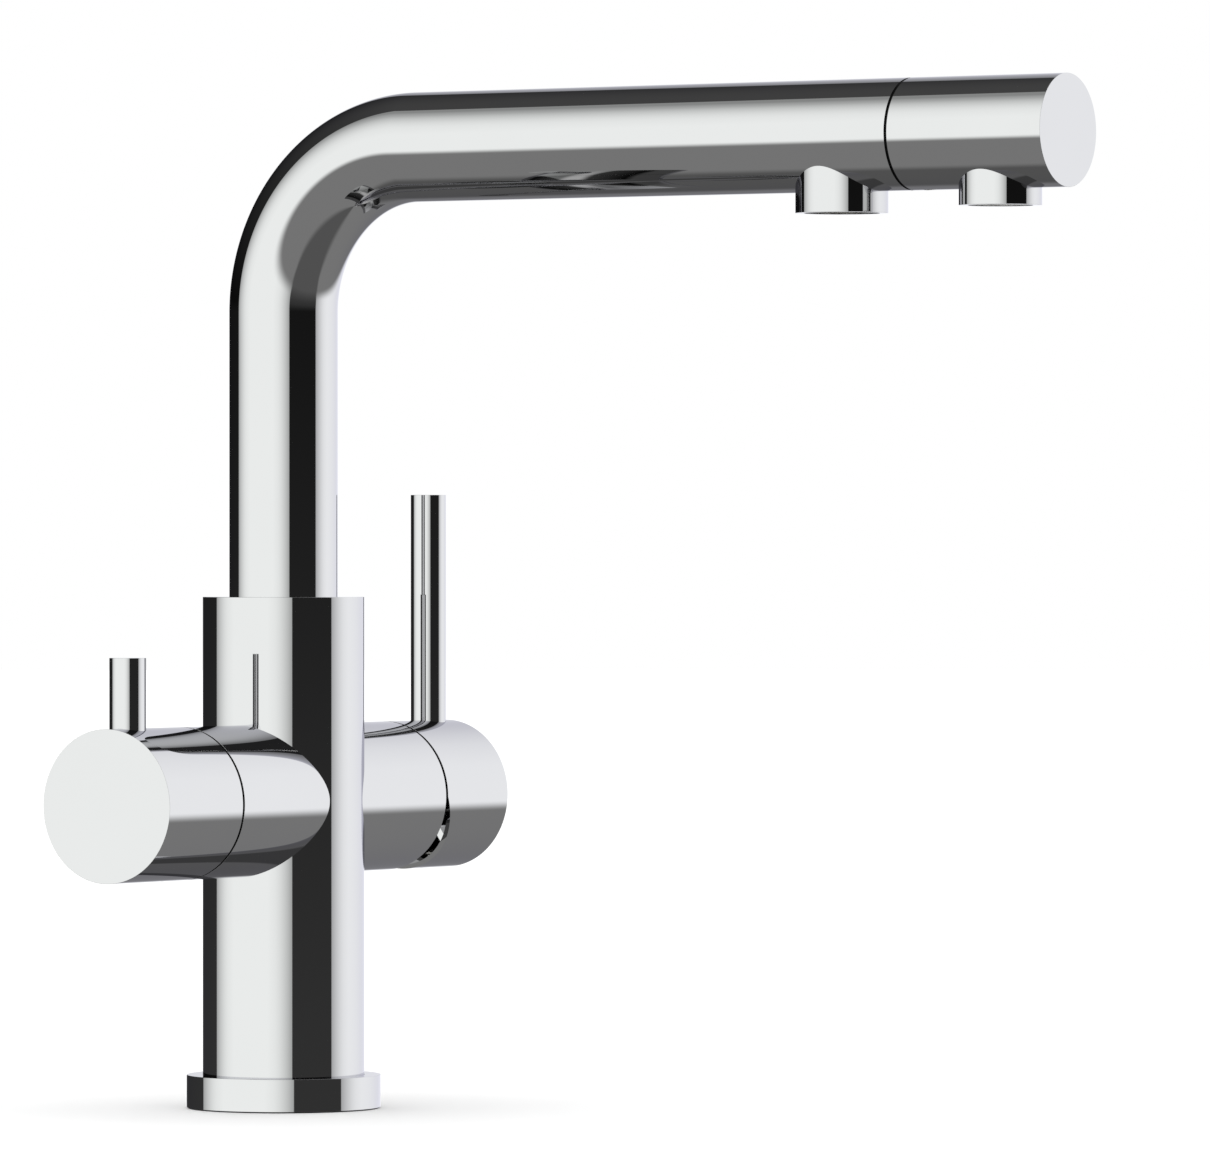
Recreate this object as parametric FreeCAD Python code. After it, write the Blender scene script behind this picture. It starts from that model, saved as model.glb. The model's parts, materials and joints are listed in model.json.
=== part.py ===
import FreeCAD, Part
import math
import os

# Four-way kitchen tap: hot, cold, still filtered and sparkling water through one swivel spout.
# Millimetres. The origin is the centre of the deck seat, Z points up, the spout reaches towards -Y,
# the mixer handle is on +X and the filter handle on -X.

vec = FreeCAD.Vector
right = vec(1, 0, 0)
rear = vec(0, 1, 0)
up = vec(0, 0, 1)
origin = vec(0, 0, 0)

# Clearances
running_gap = 0.08
fit_gap = 0.05
edge_break = 0.15

# Base and column
gasket_thickness = 0.3
gasket_inset = 0.4
flange_diameter = 54.0
flange_height = 9.0
flange_lip = 3.2
column_diameter = 45.0
column_wall = 3.5
thread_depth = 0.75
arm_axis_height = 85.8
column_rise = 56.45

# Fixing through the worktop
shank_diameter = 33.0
shank_wall = 2.0
shank_reach = 58.0
shank_collar = 9.5
hole_margin = 2.0
worktop_thickness = 40.0
fixing_rubber_thickness = 3.0
fixing_washer_thickness = 2.5
fixing_washer_diameter = 54.0
fixing_nut_height = 9.0
fixing_nut_flats = 42.0

# Water inlets and risers
inlet_plate_thickness = 12.0
inlet_pitch = 13.0
inlet_thread_radius = 4.5
inlet_depth = 7.5
inlet_web = 1.0
riser_diameter = 8.0
riser_wall = 1.0
riser_grip = 4.0
riser_ring_section = 0.8

# Waterway core
core_face = 12.5
core_cover = 8.7
core_floor = 6.7
passage_radius = 2.6
port_circle = 7.0
mixed_exit = 7.5
swivel_socket_depth = 8.0
swivel_ring_section = 0.75

# Arms
arm_diameter = 42.0
arm_wall = 3.5
mixer_boss_reach = 50.4
filter_boss_reach = 49.4
mixer_seam = 1.0
filter_seam = 0.9
mixer_cup_wall = 1.2
filter_cup_wall = 3.0

# Ceramic valve stacks
seal_thickness = 1.6
seal_rim = 1.3
seal_grip = 0.5
valve_base_thickness = 5.0
disc_thickness = 3.8
fixed_disc_radius = 13.0
valve_cavity_radius = 14.0
mixer_disc_radius = 10.0
filter_disc_radius = 13.2
carrier_thickness = 5.8
carrier_gap = 0.6
rotor_flange = 3.2
valve_roof = 3.0
valve_neck_radius = 11.0
rotor_neck_radius = 8.5
clamp_nut_flats = 28.4
clamp_nut_stand = 4.0
clamp_thread_inset = 0.4
mixer_neck_stand = 1.5
filter_neck_inset = 2.0

# Mixer lever mechanism
tilt_angle = 18.0
wedge_margin = 3.0
stem_width = 7.0
stem_slack = 0.15
tail_radius = 2.4
ball_radius = 3.1
pivot_pin_radius = 1.5
pivot_pin_length = 15.0
mixer_hub_depth = 10.6
stem_grip = 9.0
mixer_handle_end = 82.2
mixer_end_wall = 3.85
mixer_core_diameter = 18.9
mixer_pocket_diameter = 36.0
lever_post_diameter = 13.0
screw_post_diameter = 8.6
mixer_lever_offset = 73.0
mixer_lever_rise = 85.1

# Filter handle and spindle
filter_hub_depth = 8.6
filter_handle_end = 85.0
filter_lever_offset = 75.0
filter_lever_rise = 40.2
spindle_radius = 6.0
spindle_ring_section = 0.9
spindle_ring_spacing = 4.4
spindle_ring_inset = 2.5
spindle_shoulder_gap = 1.0
glide_washer_inset = 0.5

# Levers and grub screws
lever_diameter = 10.0
lever_seat_depth = 4.0
lever_thread_radius = 3.0
lever_thread_length = 6.0
screw_radius = 2.5
screw_length = 7.0
screw_socket_flats = 2.5
screw_inset = 1.5
dog_point_margin = 0.3

# Spout
spout_diameter = 30.2
spout_wall = 1.5
spout_rise = 124.2
bend_radius = 45.0
spout_reach = 251.0
head_length = 46.95
head_seam = 0.8
seam_depth = 0.3
thrust_thickness = 1.5
thrust_step = 0.6
foot_bore_radius = 10.0
foot_length = 20.6
foot_spigot = 12.0
glide_width = 2.6
glide_depth = 1.0
foot_ring_section = 1.2
foot_ring_play = 0.4
groove_width = 3.0
groove_depth = 1.7
foot_land = 1.1

# Inner tube for filtered water
inner_tube_diameter = 8.0
inner_tube_wall = 1.0
inner_tube_foot_gap = 0.5
inner_tube_stand = 0.6

# Outlets
mixed_outlet_diameter = 25.0
mixed_outlet_setback = 22.35
mixed_outlet_drop = 5.65
mixed_outlet_wall = 2.3
mixed_passage_radius = 8.0
filtered_outlet_diameter = 22.2
filtered_outlet_advance = 26.75
filtered_outlet_drop = 4.45
filtered_outlet_wall = 2.4
filtered_passage_radius = 5.0
outlet_recess = 0.8
outlet_seal_thickness = 1.2
outlet_seal_width = 2.2
outlet_top_gap = 0.1
aerator_rim = 1.4
aerator_pitch = 2.4
aerator_web = 0.5
aerator_mesh_inset = 0.6
insert_pitch = 3.0
insert_web = 0.9

# Head joint
plug_length = 11.0
plug_spigot_radius = 8.0
plug_spigot_length = 10.5
plug_ring_section = 0.9
head_screw_radius = 2.0
head_screw_setback = 5.2
head_screw_inset = 0.2

# Levels and radii that follow from the sizes above
column_radius = column_diameter / 2
column_bore = column_radius - column_wall
foot_bore = column_bore + thread_depth
column_bottom = gasket_thickness + flange_lip
column_top = arm_axis_height + column_rise
flange_top = gasket_thickness + flange_height
plate_bottom = column_bottom + fit_gap + shank_collar
plate_top = plate_bottom + inlet_plate_thickness
shank_radius = shank_diameter / 2
inlet_offset = inlet_pitch / 2
riser_radius = riser_diameter / 2
arm_radius = arm_diameter / 2
arm_bore = arm_radius - arm_wall
arm_centre = vec(0, 0, arm_axis_height)
core_radius = column_bore - fit_gap
core_bottom = arm_axis_height - arm_bore - core_floor
core_top = arm_axis_height + arm_bore + core_cover
riser_bottom = plate_bottom + inlet_depth + inlet_web
riser_top = core_bottom + riser_grip
spout_radius = spout_diameter / 2
spout_bore = spout_radius - spout_wall
socket_radius = spout_radius + running_gap
spout_axis = column_top + spout_rise
foot_bottom = core_top + thrust_thickness + fit_gap
tube_bottom = foot_bottom + foot_length
head_start = spout_reach - head_length
tube_end = head_start - head_seam
mixed_outlet_y = -(head_start - head_seam / 2 - mixed_outlet_setback)
filtered_outlet_y = -(head_start - head_seam / 2 + filtered_outlet_advance)
inner_tube_radius = inner_tube_diameter / 2
plug_tip = tube_end + plug_spigot_length
valve_bottom = core_face + seal_grip
disc_seat = valve_bottom + valve_base_thickness
disc_slide = disc_seat + disc_thickness
disc_top = disc_slide + disc_thickness
valve_radius = arm_bore - fit_gap
mixer_rim = mixer_boss_reach + mixer_seam
filter_rim = filter_boss_reach + filter_seam
mixer_hub = mixer_boss_reach + mixer_hub_depth
filter_hub = filter_boss_reach + filter_hub_depth
carrier_top = disc_top + carrier_thickness
ball_reach = carrier_top - ball_radius / 2
tail_length = mixer_boss_reach - ball_reach
disc_travel = tail_length * math.sin(math.radians(tilt_angle))
rotor_bottom = carrier_top + carrier_gap
mixer_roof = rotor_bottom + rotor_flange + fit_gap
mixer_shoulder = mixer_roof + valve_roof
mixer_nut_end = mixer_boss_reach + clamp_nut_stand
spindle_flange_top = disc_top + carrier_thickness
filter_roof = spindle_flange_top + running_gap
filter_shoulder = filter_roof + valve_roof
filter_neck_end = filter_boss_reach - filter_neck_inset
screw_level = foot_bottom + foot_land + glide_width + foot_land + groove_width / 2


def turned(profile, base, axis):
    # Solid of revolution through (distance along the axis, radius) corners
    across = right if abs(axis.z) > 0.5 else up
    corners = [base + axis * step + across * radius for step, radius in profile]
    corners.append(corners[0])
    return Part.Face(Part.makePolygon(corners)).revolve(base, axis, 360)


def rod(radius, start, finish):
    return Part.makeCylinder(radius, (finish - start).Length, start, finish - start)


def ring(outer, inner, start, finish):
    return rod(outer, start, finish).cut(rod(inner, start, finish))


def bar(width, height, start, finish):
    # Square-cornered bar between two points on a line along X
    low = min(start.x, finish.x)
    corner = vec(low, start.y - width / 2, start.z - height / 2)
    return Part.makeBox(abs(finish.x - start.x), width, height, corner)


def hexagon(flats, start, finish):
    axis = (finish - start).normalize()
    across = right if abs(axis.z) > 0.5 else up
    aside = axis.cross(across)
    reach = flats / math.sqrt(3)
    corners = []
    for step in range(7):
        turn = math.radians(60 * step)
        corners.append(start + across * (reach * math.cos(turn)) + aside * (reach * math.sin(turn)))
    return Part.Face(Part.makePolygon(corners)).extrude(finish - start)


def on_arm(side, reach, across=0.0, rise=0.0):
    return vec(side * reach, across, arm_axis_height + rise)


def arm_turned(side, profile):
    return turned(profile, arm_centre, vec(side, 0, 0))


def arm_rod(side, radius, start, finish):
    return rod(radius, on_arm(side, start), on_arm(side, finish))


def at_height(height):
    return vec(0, 0, height)


def on_spout(reach):
    return vec(0, -reach, spout_axis)


def inlet_places():
    return [vec(i * inlet_offset, j * inlet_offset, 0) for i in (-1, 1) for j in (-1, 1)]


def port_places():
    # Two inlet ports low on the valve face and one outlet port above them
    places = []
    for angle in (210, 330, 90):
        turn = math.radians(angle)
        places.append((port_circle * math.cos(turn), port_circle * math.sin(turn)))
    return places


def bent_tube(outer, inner, start_height, end_reach):
    # Upright run, quarter bend and level run of the spout line
    bend_start = at_height(spout_axis - bend_radius)
    bend_end = on_spout(bend_radius)
    upright = ring(outer, inner, at_height(start_height), bend_start)
    level = ring(outer, inner, bend_end, on_spout(end_reach))
    rim = Part.Wire(Part.makeCircle(outer, bend_start, up))
    hole = Part.Wire(Part.makeCircle(inner, bend_start, up))
    section = Part.Face([rim, hole])
    bend = section.revolve(vec(0, -bend_radius, bend_start.z), right, 90)
    return upright.fuse([bend, level]).removeSplitter()


def grub_screw(radius, tip, head):
    socket = hexagon(screw_socket_flats, head + (tip - head) * 0.4, head)
    return rod(radius - fit_gap, tip, head).cut(socket)


def base_gasket():
    outer = flange_diameter / 2 - gasket_inset
    inner = shank_radius + hole_margin
    return ring(outer, inner, origin, at_height(gasket_thickness))


def base_flange():
    outer = flange_diameter / 2
    bore = column_radius + fit_gap
    lip = shank_radius + hole_margin
    profile = [
        (gasket_thickness, lip),
        (gasket_thickness, outer),
        (flange_top - edge_break, outer),
        (flange_top, outer - edge_break),
        (flange_top, bore),
        (column_bottom, bore),
        (column_bottom, lip),
    ]
    return turned(profile, origin, up)


def body_casting():
    outer = [
        (column_bottom, 0),
        (column_bottom, column_radius),
        (column_top - edge_break, column_radius),
        (column_top, column_radius - edge_break),
        (column_top, 0),
    ]
    body = turned(outer, origin, up)
    arms = ((1, mixer_boss_reach), (-1, filter_boss_reach))
    for side, reach in arms:
        boss = [
            (0, 0),
            (0, arm_radius),
            (reach - edge_break / 2, arm_radius),
            (reach, arm_radius - edge_break / 2),
            (reach, 0),
        ]
        body = body.fuse(arm_turned(side, boss))
    cuts = [
        rod(foot_bore, at_height(column_bottom), at_height(plate_top)),
        rod(column_bore, at_height(column_bottom), at_height(core_top)),
        rod(socket_radius, at_height(column_bottom), at_height(column_top)),
        rod(screw_radius, at_height(screw_level), vec(0, column_diameter, screw_level)),
    ]
    for side, reach in arms:
        cuts.append(arm_rod(side, arm_bore, core_face, reach))
    return body.cut(cuts).removeSplitter()


def mounting_shank():
    # Hollow threaded shank, its collar screwed into the foot of the column
    bore = shank_radius - shank_wall
    profile = [
        (-shank_reach, bore),
        (-shank_reach, shank_radius - edge_break),
        (-shank_reach + edge_break, shank_radius),
        (column_bottom + fit_gap, shank_radius),
        (column_bottom + fit_gap, foot_bore - fit_gap),
        (plate_bottom, foot_bore - fit_gap),
        (plate_bottom, bore),
    ]
    return turned(profile, origin, up)


def fixing_rubber():
    top = -worktop_thickness
    bore = shank_radius + running_gap
    outer = fixing_washer_diameter / 2
    return ring(outer, bore, at_height(top), at_height(top - fixing_rubber_thickness))


def fixing_washer():
    top = -worktop_thickness - fixing_rubber_thickness
    bore = shank_radius + running_gap
    outer = fixing_washer_diameter / 2
    return ring(outer, bore, at_height(top), at_height(top - fixing_washer_thickness))


def fixing_nut():
    top = -worktop_thickness - fixing_rubber_thickness - fixing_washer_thickness
    low = at_height(top - fixing_nut_height)
    body = hexagon(fixing_nut_flats, low, at_height(top))
    return body.cut(rod(shank_radius + running_gap, low, at_height(top)))


def inlet_plate():
    plate = rod(foot_bore - fit_gap, at_height(plate_bottom), at_height(plate_top))
    cuts = []
    for place in inlet_places():
        mouth = place + at_height(plate_bottom)
        cuts.append(rod(inlet_thread_radius, mouth, mouth + up * inlet_depth))
        cuts.append(rod(riser_radius - riser_wall, mouth, mouth + up * inlet_plate_thickness))
        socket = place + at_height(riser_bottom)
        cuts.append(rod(riser_radius + fit_gap, socket, place + at_height(plate_top)))
    return plate.cut(cuts)


def riser(side, row):
    place = vec(side * inlet_offset, row * inlet_offset, 0)
    low = place + at_height(riser_bottom)
    return ring(riser_radius, riser_radius - riser_wall, low, place + at_height(riser_top))


def riser_ring_reach():
    return riser_radius + fit_gap + riser_ring_section


def riser_o_rings():
    level = at_height(core_bottom + riser_ring_section)
    rings = []
    for place in inlet_places():
        rings.append(Part.makeTorus(riser_ring_reach(), riser_ring_section, place + level, up))
    return Part.makeCompound(rings)


def waterway_core():
    core = rod(core_radius, at_height(core_bottom), at_height(core_top))
    cuts = []
    for place in inlet_places():
        mouth = place + at_height(core_bottom)
        seat = riser_ring_reach() + riser_ring_section + fit_gap
        cuts.append(rod(seat, mouth, mouth + up * (2 * riser_ring_section)))
        cuts.append(rod(riser_radius + fit_gap, mouth, mouth + up * riser_grip))
    inlets = port_places()[:2]
    outlet = port_places()[2]
    for side in (1, -1):
        cuts.append(arm_rod(side, arm_bore, core_face, column_diameter))
        for across, rise in inlets:
            row = math.copysign(1, across)
            start = vec(side * inlet_offset, row * inlet_offset, riser_top)
            port = on_arm(side, core_face, across, rise)
            beyond = (port - start).normalize() * passage_radius
            cuts.append(rod(passage_radius, start - beyond * 0.4, port + beyond))
            cuts.append(Part.makeSphere(passage_radius, start))
    mixed_start = on_arm(1, core_face + 1, outlet[0], outlet[1])
    mixed_end = vec(mixed_exit, 0, core_top)
    over = (mixed_end - mixed_start).normalize() * passage_radius
    cuts.append(rod(passage_radius, mixed_start, mixed_end + over))
    filtered_start = on_arm(-1, core_face + 1, outlet[0], outlet[1])
    filtered_end = at_height(core_top - swivel_socket_depth - passage_radius)
    cuts.append(rod(passage_radius, filtered_start, filtered_end))
    cuts.append(Part.makeSphere(passage_radius, filtered_end))
    cuts.append(rod(passage_radius, filtered_end, at_height(core_top)))
    socket_floor = core_top - swivel_socket_depth
    bore = inner_tube_radius + running_gap
    cuts.append(rod(bore, at_height(socket_floor), at_height(core_top)))
    groove = rod(bore + 2 * swivel_ring_section, swivel_groove(-1), swivel_groove(1))
    cuts.append(groove)
    cuts.append(core_ring_groove())
    return core.cut(cuts)


def swivel_groove(end):
    middle = core_top - swivel_socket_depth / 2
    return at_height(middle + end * (swivel_ring_section + fit_gap))


def filtered_swivel_ring():
    middle = at_height(core_top - swivel_socket_depth / 2)
    reach = inner_tube_radius + running_gap + swivel_ring_section
    return Part.makeTorus(reach, swivel_ring_section - fit_gap, middle, up)


def core_ring_size():
    reach = (socket_radius + core_radius) / 2
    section = (core_radius - socket_radius) / 5
    return reach, section


def core_ring_groove():
    reach, section = core_ring_size()
    low = at_height(core_top - 2 * section)
    return ring(reach + section + fit_gap, reach - section - fit_gap, low, at_height(core_top))


def core_o_ring():
    reach, section = core_ring_size()
    return Part.makeTorus(reach, section, at_height(core_top - section), up)


def thrust_washer():
    inner = foot_bore_radius + thrust_step
    outer = socket_radius - fit_gap
    return ring(outer, inner, at_height(core_top), at_height(core_top + thrust_thickness))


def spout_retaining_screw():
    # Grub screw whose narrow point runs in the groove of the spout foot
    tip = vec(0, spout_radius - groove_depth + 2 * running_gap, screw_level)
    shoulder = vec(0, socket_radius + dog_point_margin, screw_level)
    screw = grub_screw(screw_radius, shoulder, vec(0, column_radius - screw_inset, screw_level))
    return screw.fuse(rod(groove_width / 2 - dog_point_margin, tip, shoulder))


def foot_grooves():
    # Heights of the glide rings, seal rings and retaining groove, from the bottom of the foot
    ring_width = 2 * foot_ring_section + foot_ring_play
    low_glide = foot_bottom + foot_land
    keeper = low_glide + glide_width + foot_land
    low_ring = keeper + groove_width + foot_land
    top_ring = low_ring + ring_width + foot_land
    top_glide = top_ring + ring_width + foot_land
    return low_glide, keeper, low_ring, top_ring, top_glide, ring_width


def spout_foot():
    outer = spout_radius
    profile = [
        (foot_bottom, foot_bore_radius),
        (foot_bottom, outer),
        (tube_bottom, outer),
        (tube_bottom, spout_bore - fit_gap),
        (tube_bottom + foot_spigot, spout_bore - fit_gap),
        (tube_bottom + foot_spigot, foot_bore_radius),
    ]
    foot = turned(profile, origin, up)
    low_glide, keeper, low_ring, top_ring, top_glide, ring_width = foot_grooves()
    ring_floor = outer - 2 * foot_ring_section
    slots = [
        (low_glide, glide_width, outer - glide_depth),
        (keeper, groove_width, outer - groove_depth),
        (low_ring, ring_width, ring_floor),
        (top_ring, ring_width, ring_floor),
        (top_glide, glide_width, outer - glide_depth),
    ]
    cuts = []
    for low, width, floor in slots:
        cuts.append(ring(outer + 1, floor, at_height(low), at_height(low + width)))
    return foot.cut(cuts)


def spout_glide_rings():
    low_glide, keeper, low_ring, top_ring, top_glide, ring_width = foot_grooves()
    outer = socket_radius - running_gap / 2
    inner = spout_radius - glide_depth
    rings = []
    for low in (low_glide, top_glide):
        start = at_height(low + fit_gap)
        rings.append(ring(outer, inner, start, at_height(low + glide_width - fit_gap)))
    return Part.makeCompound(rings)


def spout_o_rings():
    low_glide, keeper, low_ring, top_ring, top_glide, ring_width = foot_grooves()
    reach = socket_radius - running_gap / 2 - foot_ring_section
    rings = []
    for low in (low_ring, top_ring):
        middle = at_height(low + ring_width / 2)
        rings.append(Part.makeTorus(reach, foot_ring_section, middle, up))
    return Part.makeCompound(rings)


def spout_tube():
    tube = bent_tube(spout_radius, spout_bore, tube_bottom, tube_end)
    low = vec(0, mixed_outlet_y, spout_axis - spout_diameter)
    return tube.cut(rod(mixed_passage_radius, low, vec(0, mixed_outlet_y, spout_axis)))


def filtered_tube():
    low = core_top - swivel_socket_depth + inner_tube_foot_gap
    bore = inner_tube_radius - inner_tube_wall
    return bent_tube(inner_tube_radius, bore, low, plug_tip + inner_tube_stand)


def outlet_boss(place, radius, wall, drop):
    # Round boss with a saddle-shaped top that follows the spout
    low = place + at_height(spout_axis - spout_radius - drop)
    top = place + at_height(spout_axis)
    edge = edge_break / 2
    profile = [
        (0, radius - wall),
        (0, radius - edge),
        (edge, radius),
        ((top - low).Length, radius),
        ((top - low).Length, radius - wall),
    ]
    boss = turned(profile, low, up)
    run = rod(spout_radius, place + vec(0, spout_reach, spout_axis), place + vec(0, -spout_reach, spout_axis))
    return boss.cut(run)


def mixed_outlet():
    place = vec(0, mixed_outlet_y, 0)
    return outlet_boss(place, mixed_outlet_diameter / 2, mixed_outlet_wall, mixed_outlet_drop)


def filtered_outlet():
    place = vec(0, filtered_outlet_y, 0)
    return outlet_boss(place, filtered_outlet_diameter / 2, filtered_outlet_wall, filtered_outlet_drop)


def outlet_levels(drop):
    # Bottom and top of what an outlet boss holds, and the top of the seal above it
    low = spout_axis - spout_radius - drop + outlet_recess
    top = spout_axis - spout_radius - outlet_top_gap - outlet_seal_thickness
    return low, top, top + outlet_seal_thickness


def outlet_seal(y, radius, drop):
    low, top, seal_top = outlet_levels(drop)
    outer = radius - fit_gap
    return ring(outer, outer - outlet_seal_width, vec(0, y, top), vec(0, y, seal_top))


def perforated(disc, y, pitch, hole, reach, low, top):
    # Hexagonal grid of round holes through a flat disc
    rows = int(reach / pitch) + 1
    cuts = []
    for i in range(-rows, rows + 1):
        for j in range(-rows, rows + 1):
            across = pitch * (i + j / 2)
            along = pitch * j * math.sqrt(3) / 2
            if math.hypot(across, along) + hole < reach:
                cuts.append(rod(hole, vec(across, y + along, low), vec(across, y + along, top)))
    return disc.cut(cuts)


def mixed_bore():
    return mixed_outlet_diameter / 2 - mixed_outlet_wall


def filtered_bore():
    return filtered_outlet_diameter / 2 - filtered_outlet_wall


def aerator_cup():
    low, top, seal_top = outlet_levels(mixed_outlet_drop)
    outer = mixed_bore() - fit_gap
    return ring(outer, outer - aerator_rim, vec(0, mixed_outlet_y, low), vec(0, mixed_outlet_y, top))


def aerator_mesh():
    low, top, seal_top = outlet_levels(mixed_outlet_drop)
    reach = mixed_bore() - aerator_rim - 2 * fit_gap
    low = low + aerator_mesh_inset
    disc = rod(reach, vec(0, mixed_outlet_y, low), vec(0, mixed_outlet_y, top))
    hole = (aerator_pitch - aerator_web) / 2
    return perforated(disc, mixed_outlet_y, aerator_pitch, hole, reach, low, top)


def aerator_seal():
    return outlet_seal(mixed_outlet_y, mixed_bore(), mixed_outlet_drop)


def filtered_flow_insert():
    low, top, seal_top = outlet_levels(filtered_outlet_drop)
    reach = filtered_bore() - fit_gap
    disc = rod(reach, vec(0, filtered_outlet_y, low), vec(0, filtered_outlet_y, top))
    hole = (insert_pitch - insert_web) / 2
    return perforated(disc, filtered_outlet_y, insert_pitch, hole, reach, low, top)


def filtered_insert_seal():
    return outlet_seal(filtered_outlet_y, filtered_bore(), filtered_outlet_drop)


def plug_ring_middle():
    return tube_end - plug_length / 2


def spout_end_plug():
    outer = spout_bore - fit_gap
    bore = inner_tube_radius + fit_gap
    profile = [
        (tube_end - plug_length, bore),
        (tube_end - plug_length, outer),
        (tube_end, outer),
        (tube_end, plug_spigot_radius),
        (plug_tip, plug_spigot_radius),
        (plug_tip, bore),
    ]
    plug = turned(profile, on_spout(0), -rear)
    half = plug_ring_section + fit_gap
    start = on_spout(plug_ring_middle() - half)
    finish = on_spout(plug_ring_middle() + half)
    return plug.cut(ring(spout_radius, outer - 2 * plug_ring_section, start, finish))


def plug_o_ring():
    reach = spout_bore - fit_gap - plug_ring_section
    return Part.makeTorus(reach, plug_ring_section, on_spout(plug_ring_middle()), rear)


def head_seam_ring():
    inner = plug_spigot_radius + fit_gap
    return ring(spout_radius - seam_depth, inner, on_spout(tube_end), on_spout(head_start))


def spout_head():
    edge = edge_break
    profile = [
        (head_start, 0),
        (head_start, spout_radius),
        (spout_reach - edge, spout_radius),
        (spout_reach, spout_radius - edge),
        (spout_reach, 0),
    ]
    head = turned(profile, on_spout(0), -rear)
    outlet = vec(0, filtered_outlet_y, spout_axis)
    cuts = [
        rod(plug_spigot_radius + fit_gap, on_spout(head_start), on_spout(plug_tip + fit_gap)),
        rod(inner_tube_radius + fit_gap, on_spout(plug_tip), on_spout(plug_tip + 2 * inner_tube_stand)),
        rod(inner_tube_radius - inner_tube_wall, on_spout(plug_tip), outlet),
        rod(filtered_passage_radius, outlet - up * spout_diameter, outlet),
        Part.makeSphere(filtered_passage_radius, outlet),
        head_screw_hole(),
    ]
    return head.cut(cuts)


def head_screw_place(depth):
    return vec(0, -(head_start + head_screw_setback), spout_axis - depth)


def head_screw_hole():
    return rod(head_screw_radius, head_screw_place(spout_diameter), head_screw_place(plug_spigot_radius))


def head_screw():
    tip = head_screw_place(plug_spigot_radius + fit_gap)
    return grub_screw(head_screw_radius, tip, head_screw_place(spout_radius - head_screw_inset))


def valve_seals(side):
    seals = []
    for across, rise in port_places():
        start = on_arm(side, core_face, across, rise)
        finish = on_arm(side, core_face + seal_thickness, across, rise)
        seals.append(ring(passage_radius + seal_rim, passage_radius, start, finish))
    return Part.makeCompound(seals)


def valve_base(side):
    base = arm_rod(side, valve_radius, valve_bottom, disc_seat)
    cuts = []
    for across, rise in port_places():
        start = on_arm(side, valve_bottom, across, rise)
        pocket_end = on_arm(side, core_face + seal_thickness, across, rise)
        cuts.append(rod(passage_radius + seal_rim + fit_gap, start, pocket_end))
        cuts.append(rod(passage_radius, start, on_arm(side, disc_seat, across, rise)))
    return base.cut(cuts)


def fixed_disc(side):
    disc = arm_rod(side, fixed_disc_radius, disc_seat, disc_slide)
    cuts = []
    for across, rise in port_places():
        start = on_arm(side, disc_seat, across, rise)
        cuts.append(rod(passage_radius, start, on_arm(side, disc_slide, across, rise)))
    return disc.cut(cuts)


def valve_housing(side, roof, shoulder, neck_end, neck_bore):
    profile = [
        (disc_seat, valve_cavity_radius),
        (disc_seat, valve_radius),
        (shoulder, valve_radius),
        (shoulder, valve_neck_radius),
        (neck_end, valve_neck_radius),
        (neck_end, neck_bore),
        (roof, neck_bore),
        (roof, valve_cavity_radius),
    ]
    return arm_turned(side, profile)


def clamp_nut(side, shoulder, thread_end, nut_end):
    bore = valve_neck_radius + fit_gap
    nut = arm_rod(side, valve_radius, shoulder, thread_end)
    nut = nut.fuse(hexagon(clamp_nut_flats, on_arm(side, thread_end), on_arm(side, nut_end)))
    return nut.cut(arm_rod(side, bore, shoulder, nut_end))


def mixer_cartridge_housing():
    bore = rotor_neck_radius + running_gap
    return valve_housing(1, mixer_roof, mixer_shoulder, mixer_boss_reach + mixer_neck_stand, bore)


def mixer_clamp_nut():
    return clamp_nut(1, mixer_shoulder, mixer_boss_reach - clamp_thread_inset, mixer_nut_end)


def disc_place(reach):
    # The mixer disc rests below the axis and slides up through it as the lever tilts
    return on_arm(1, reach, 0, -disc_travel / 2)


def mixer_moving_disc():
    start = disc_place(disc_slide)
    disc = rod(mixer_disc_radius, start, disc_place(disc_top))
    pocket = rod(mixer_disc_radius / 2, start, disc_place(disc_slide + disc_thickness / 2))
    return disc.cut(pocket)


def mixer_disc_carrier():
    carrier = rod(mixer_disc_radius, disc_place(disc_top), disc_place(carrier_top))
    pocket_floor = ball_reach - ball_radius - stem_slack
    pocket = arm_rod(1, ball_radius + stem_slack, pocket_floor, carrier_top)
    return carrier.cut(pocket)


def stem_body(slack):
    # Square stem through the pivot, with a tail and ball that move the sliding disc
    width = stem_width + 2 * slack
    inner = mixer_boss_reach - tail_length / 2 - slack
    outer = mixer_hub + stem_grip
    stem = bar(width, width, on_arm(1, inner), on_arm(1, outer))
    tail = arm_rod(1, tail_radius + slack, ball_reach, inner)
    ball = Part.makeSphere(ball_radius + slack, on_arm(1, ball_reach))
    return stem.fuse([tail, ball])


def pivot_pin(radius):
    half = rear * (pivot_pin_length / 2)
    middle = on_arm(1, mixer_boss_reach)
    return rod(radius, middle - half, middle + half)


def mixer_stem():
    return stem_body(0).cut(pivot_pin(pivot_pin_radius + running_gap))


def mixer_rotor():
    profile = [
        (rotor_bottom, 0),
        (rotor_bottom, valve_cavity_radius - running_gap),
        (rotor_bottom + rotor_flange, valve_cavity_radius - running_gap),
        (rotor_bottom + rotor_flange, rotor_neck_radius),
        (mixer_nut_end, rotor_neck_radius),
        (mixer_nut_end, 0),
    ]
    rotor = arm_turned(1, profile)
    slot = []
    steps = 6
    for step in range(steps + 1):
        swept = stem_body(stem_slack)
        swept.rotate(on_arm(1, mixer_boss_reach), rear, tilt_angle * step / steps)
        slot.append(swept)
    slot.append(pivot_pin(pivot_pin_radius))
    return rotor.cut(slot)


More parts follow.
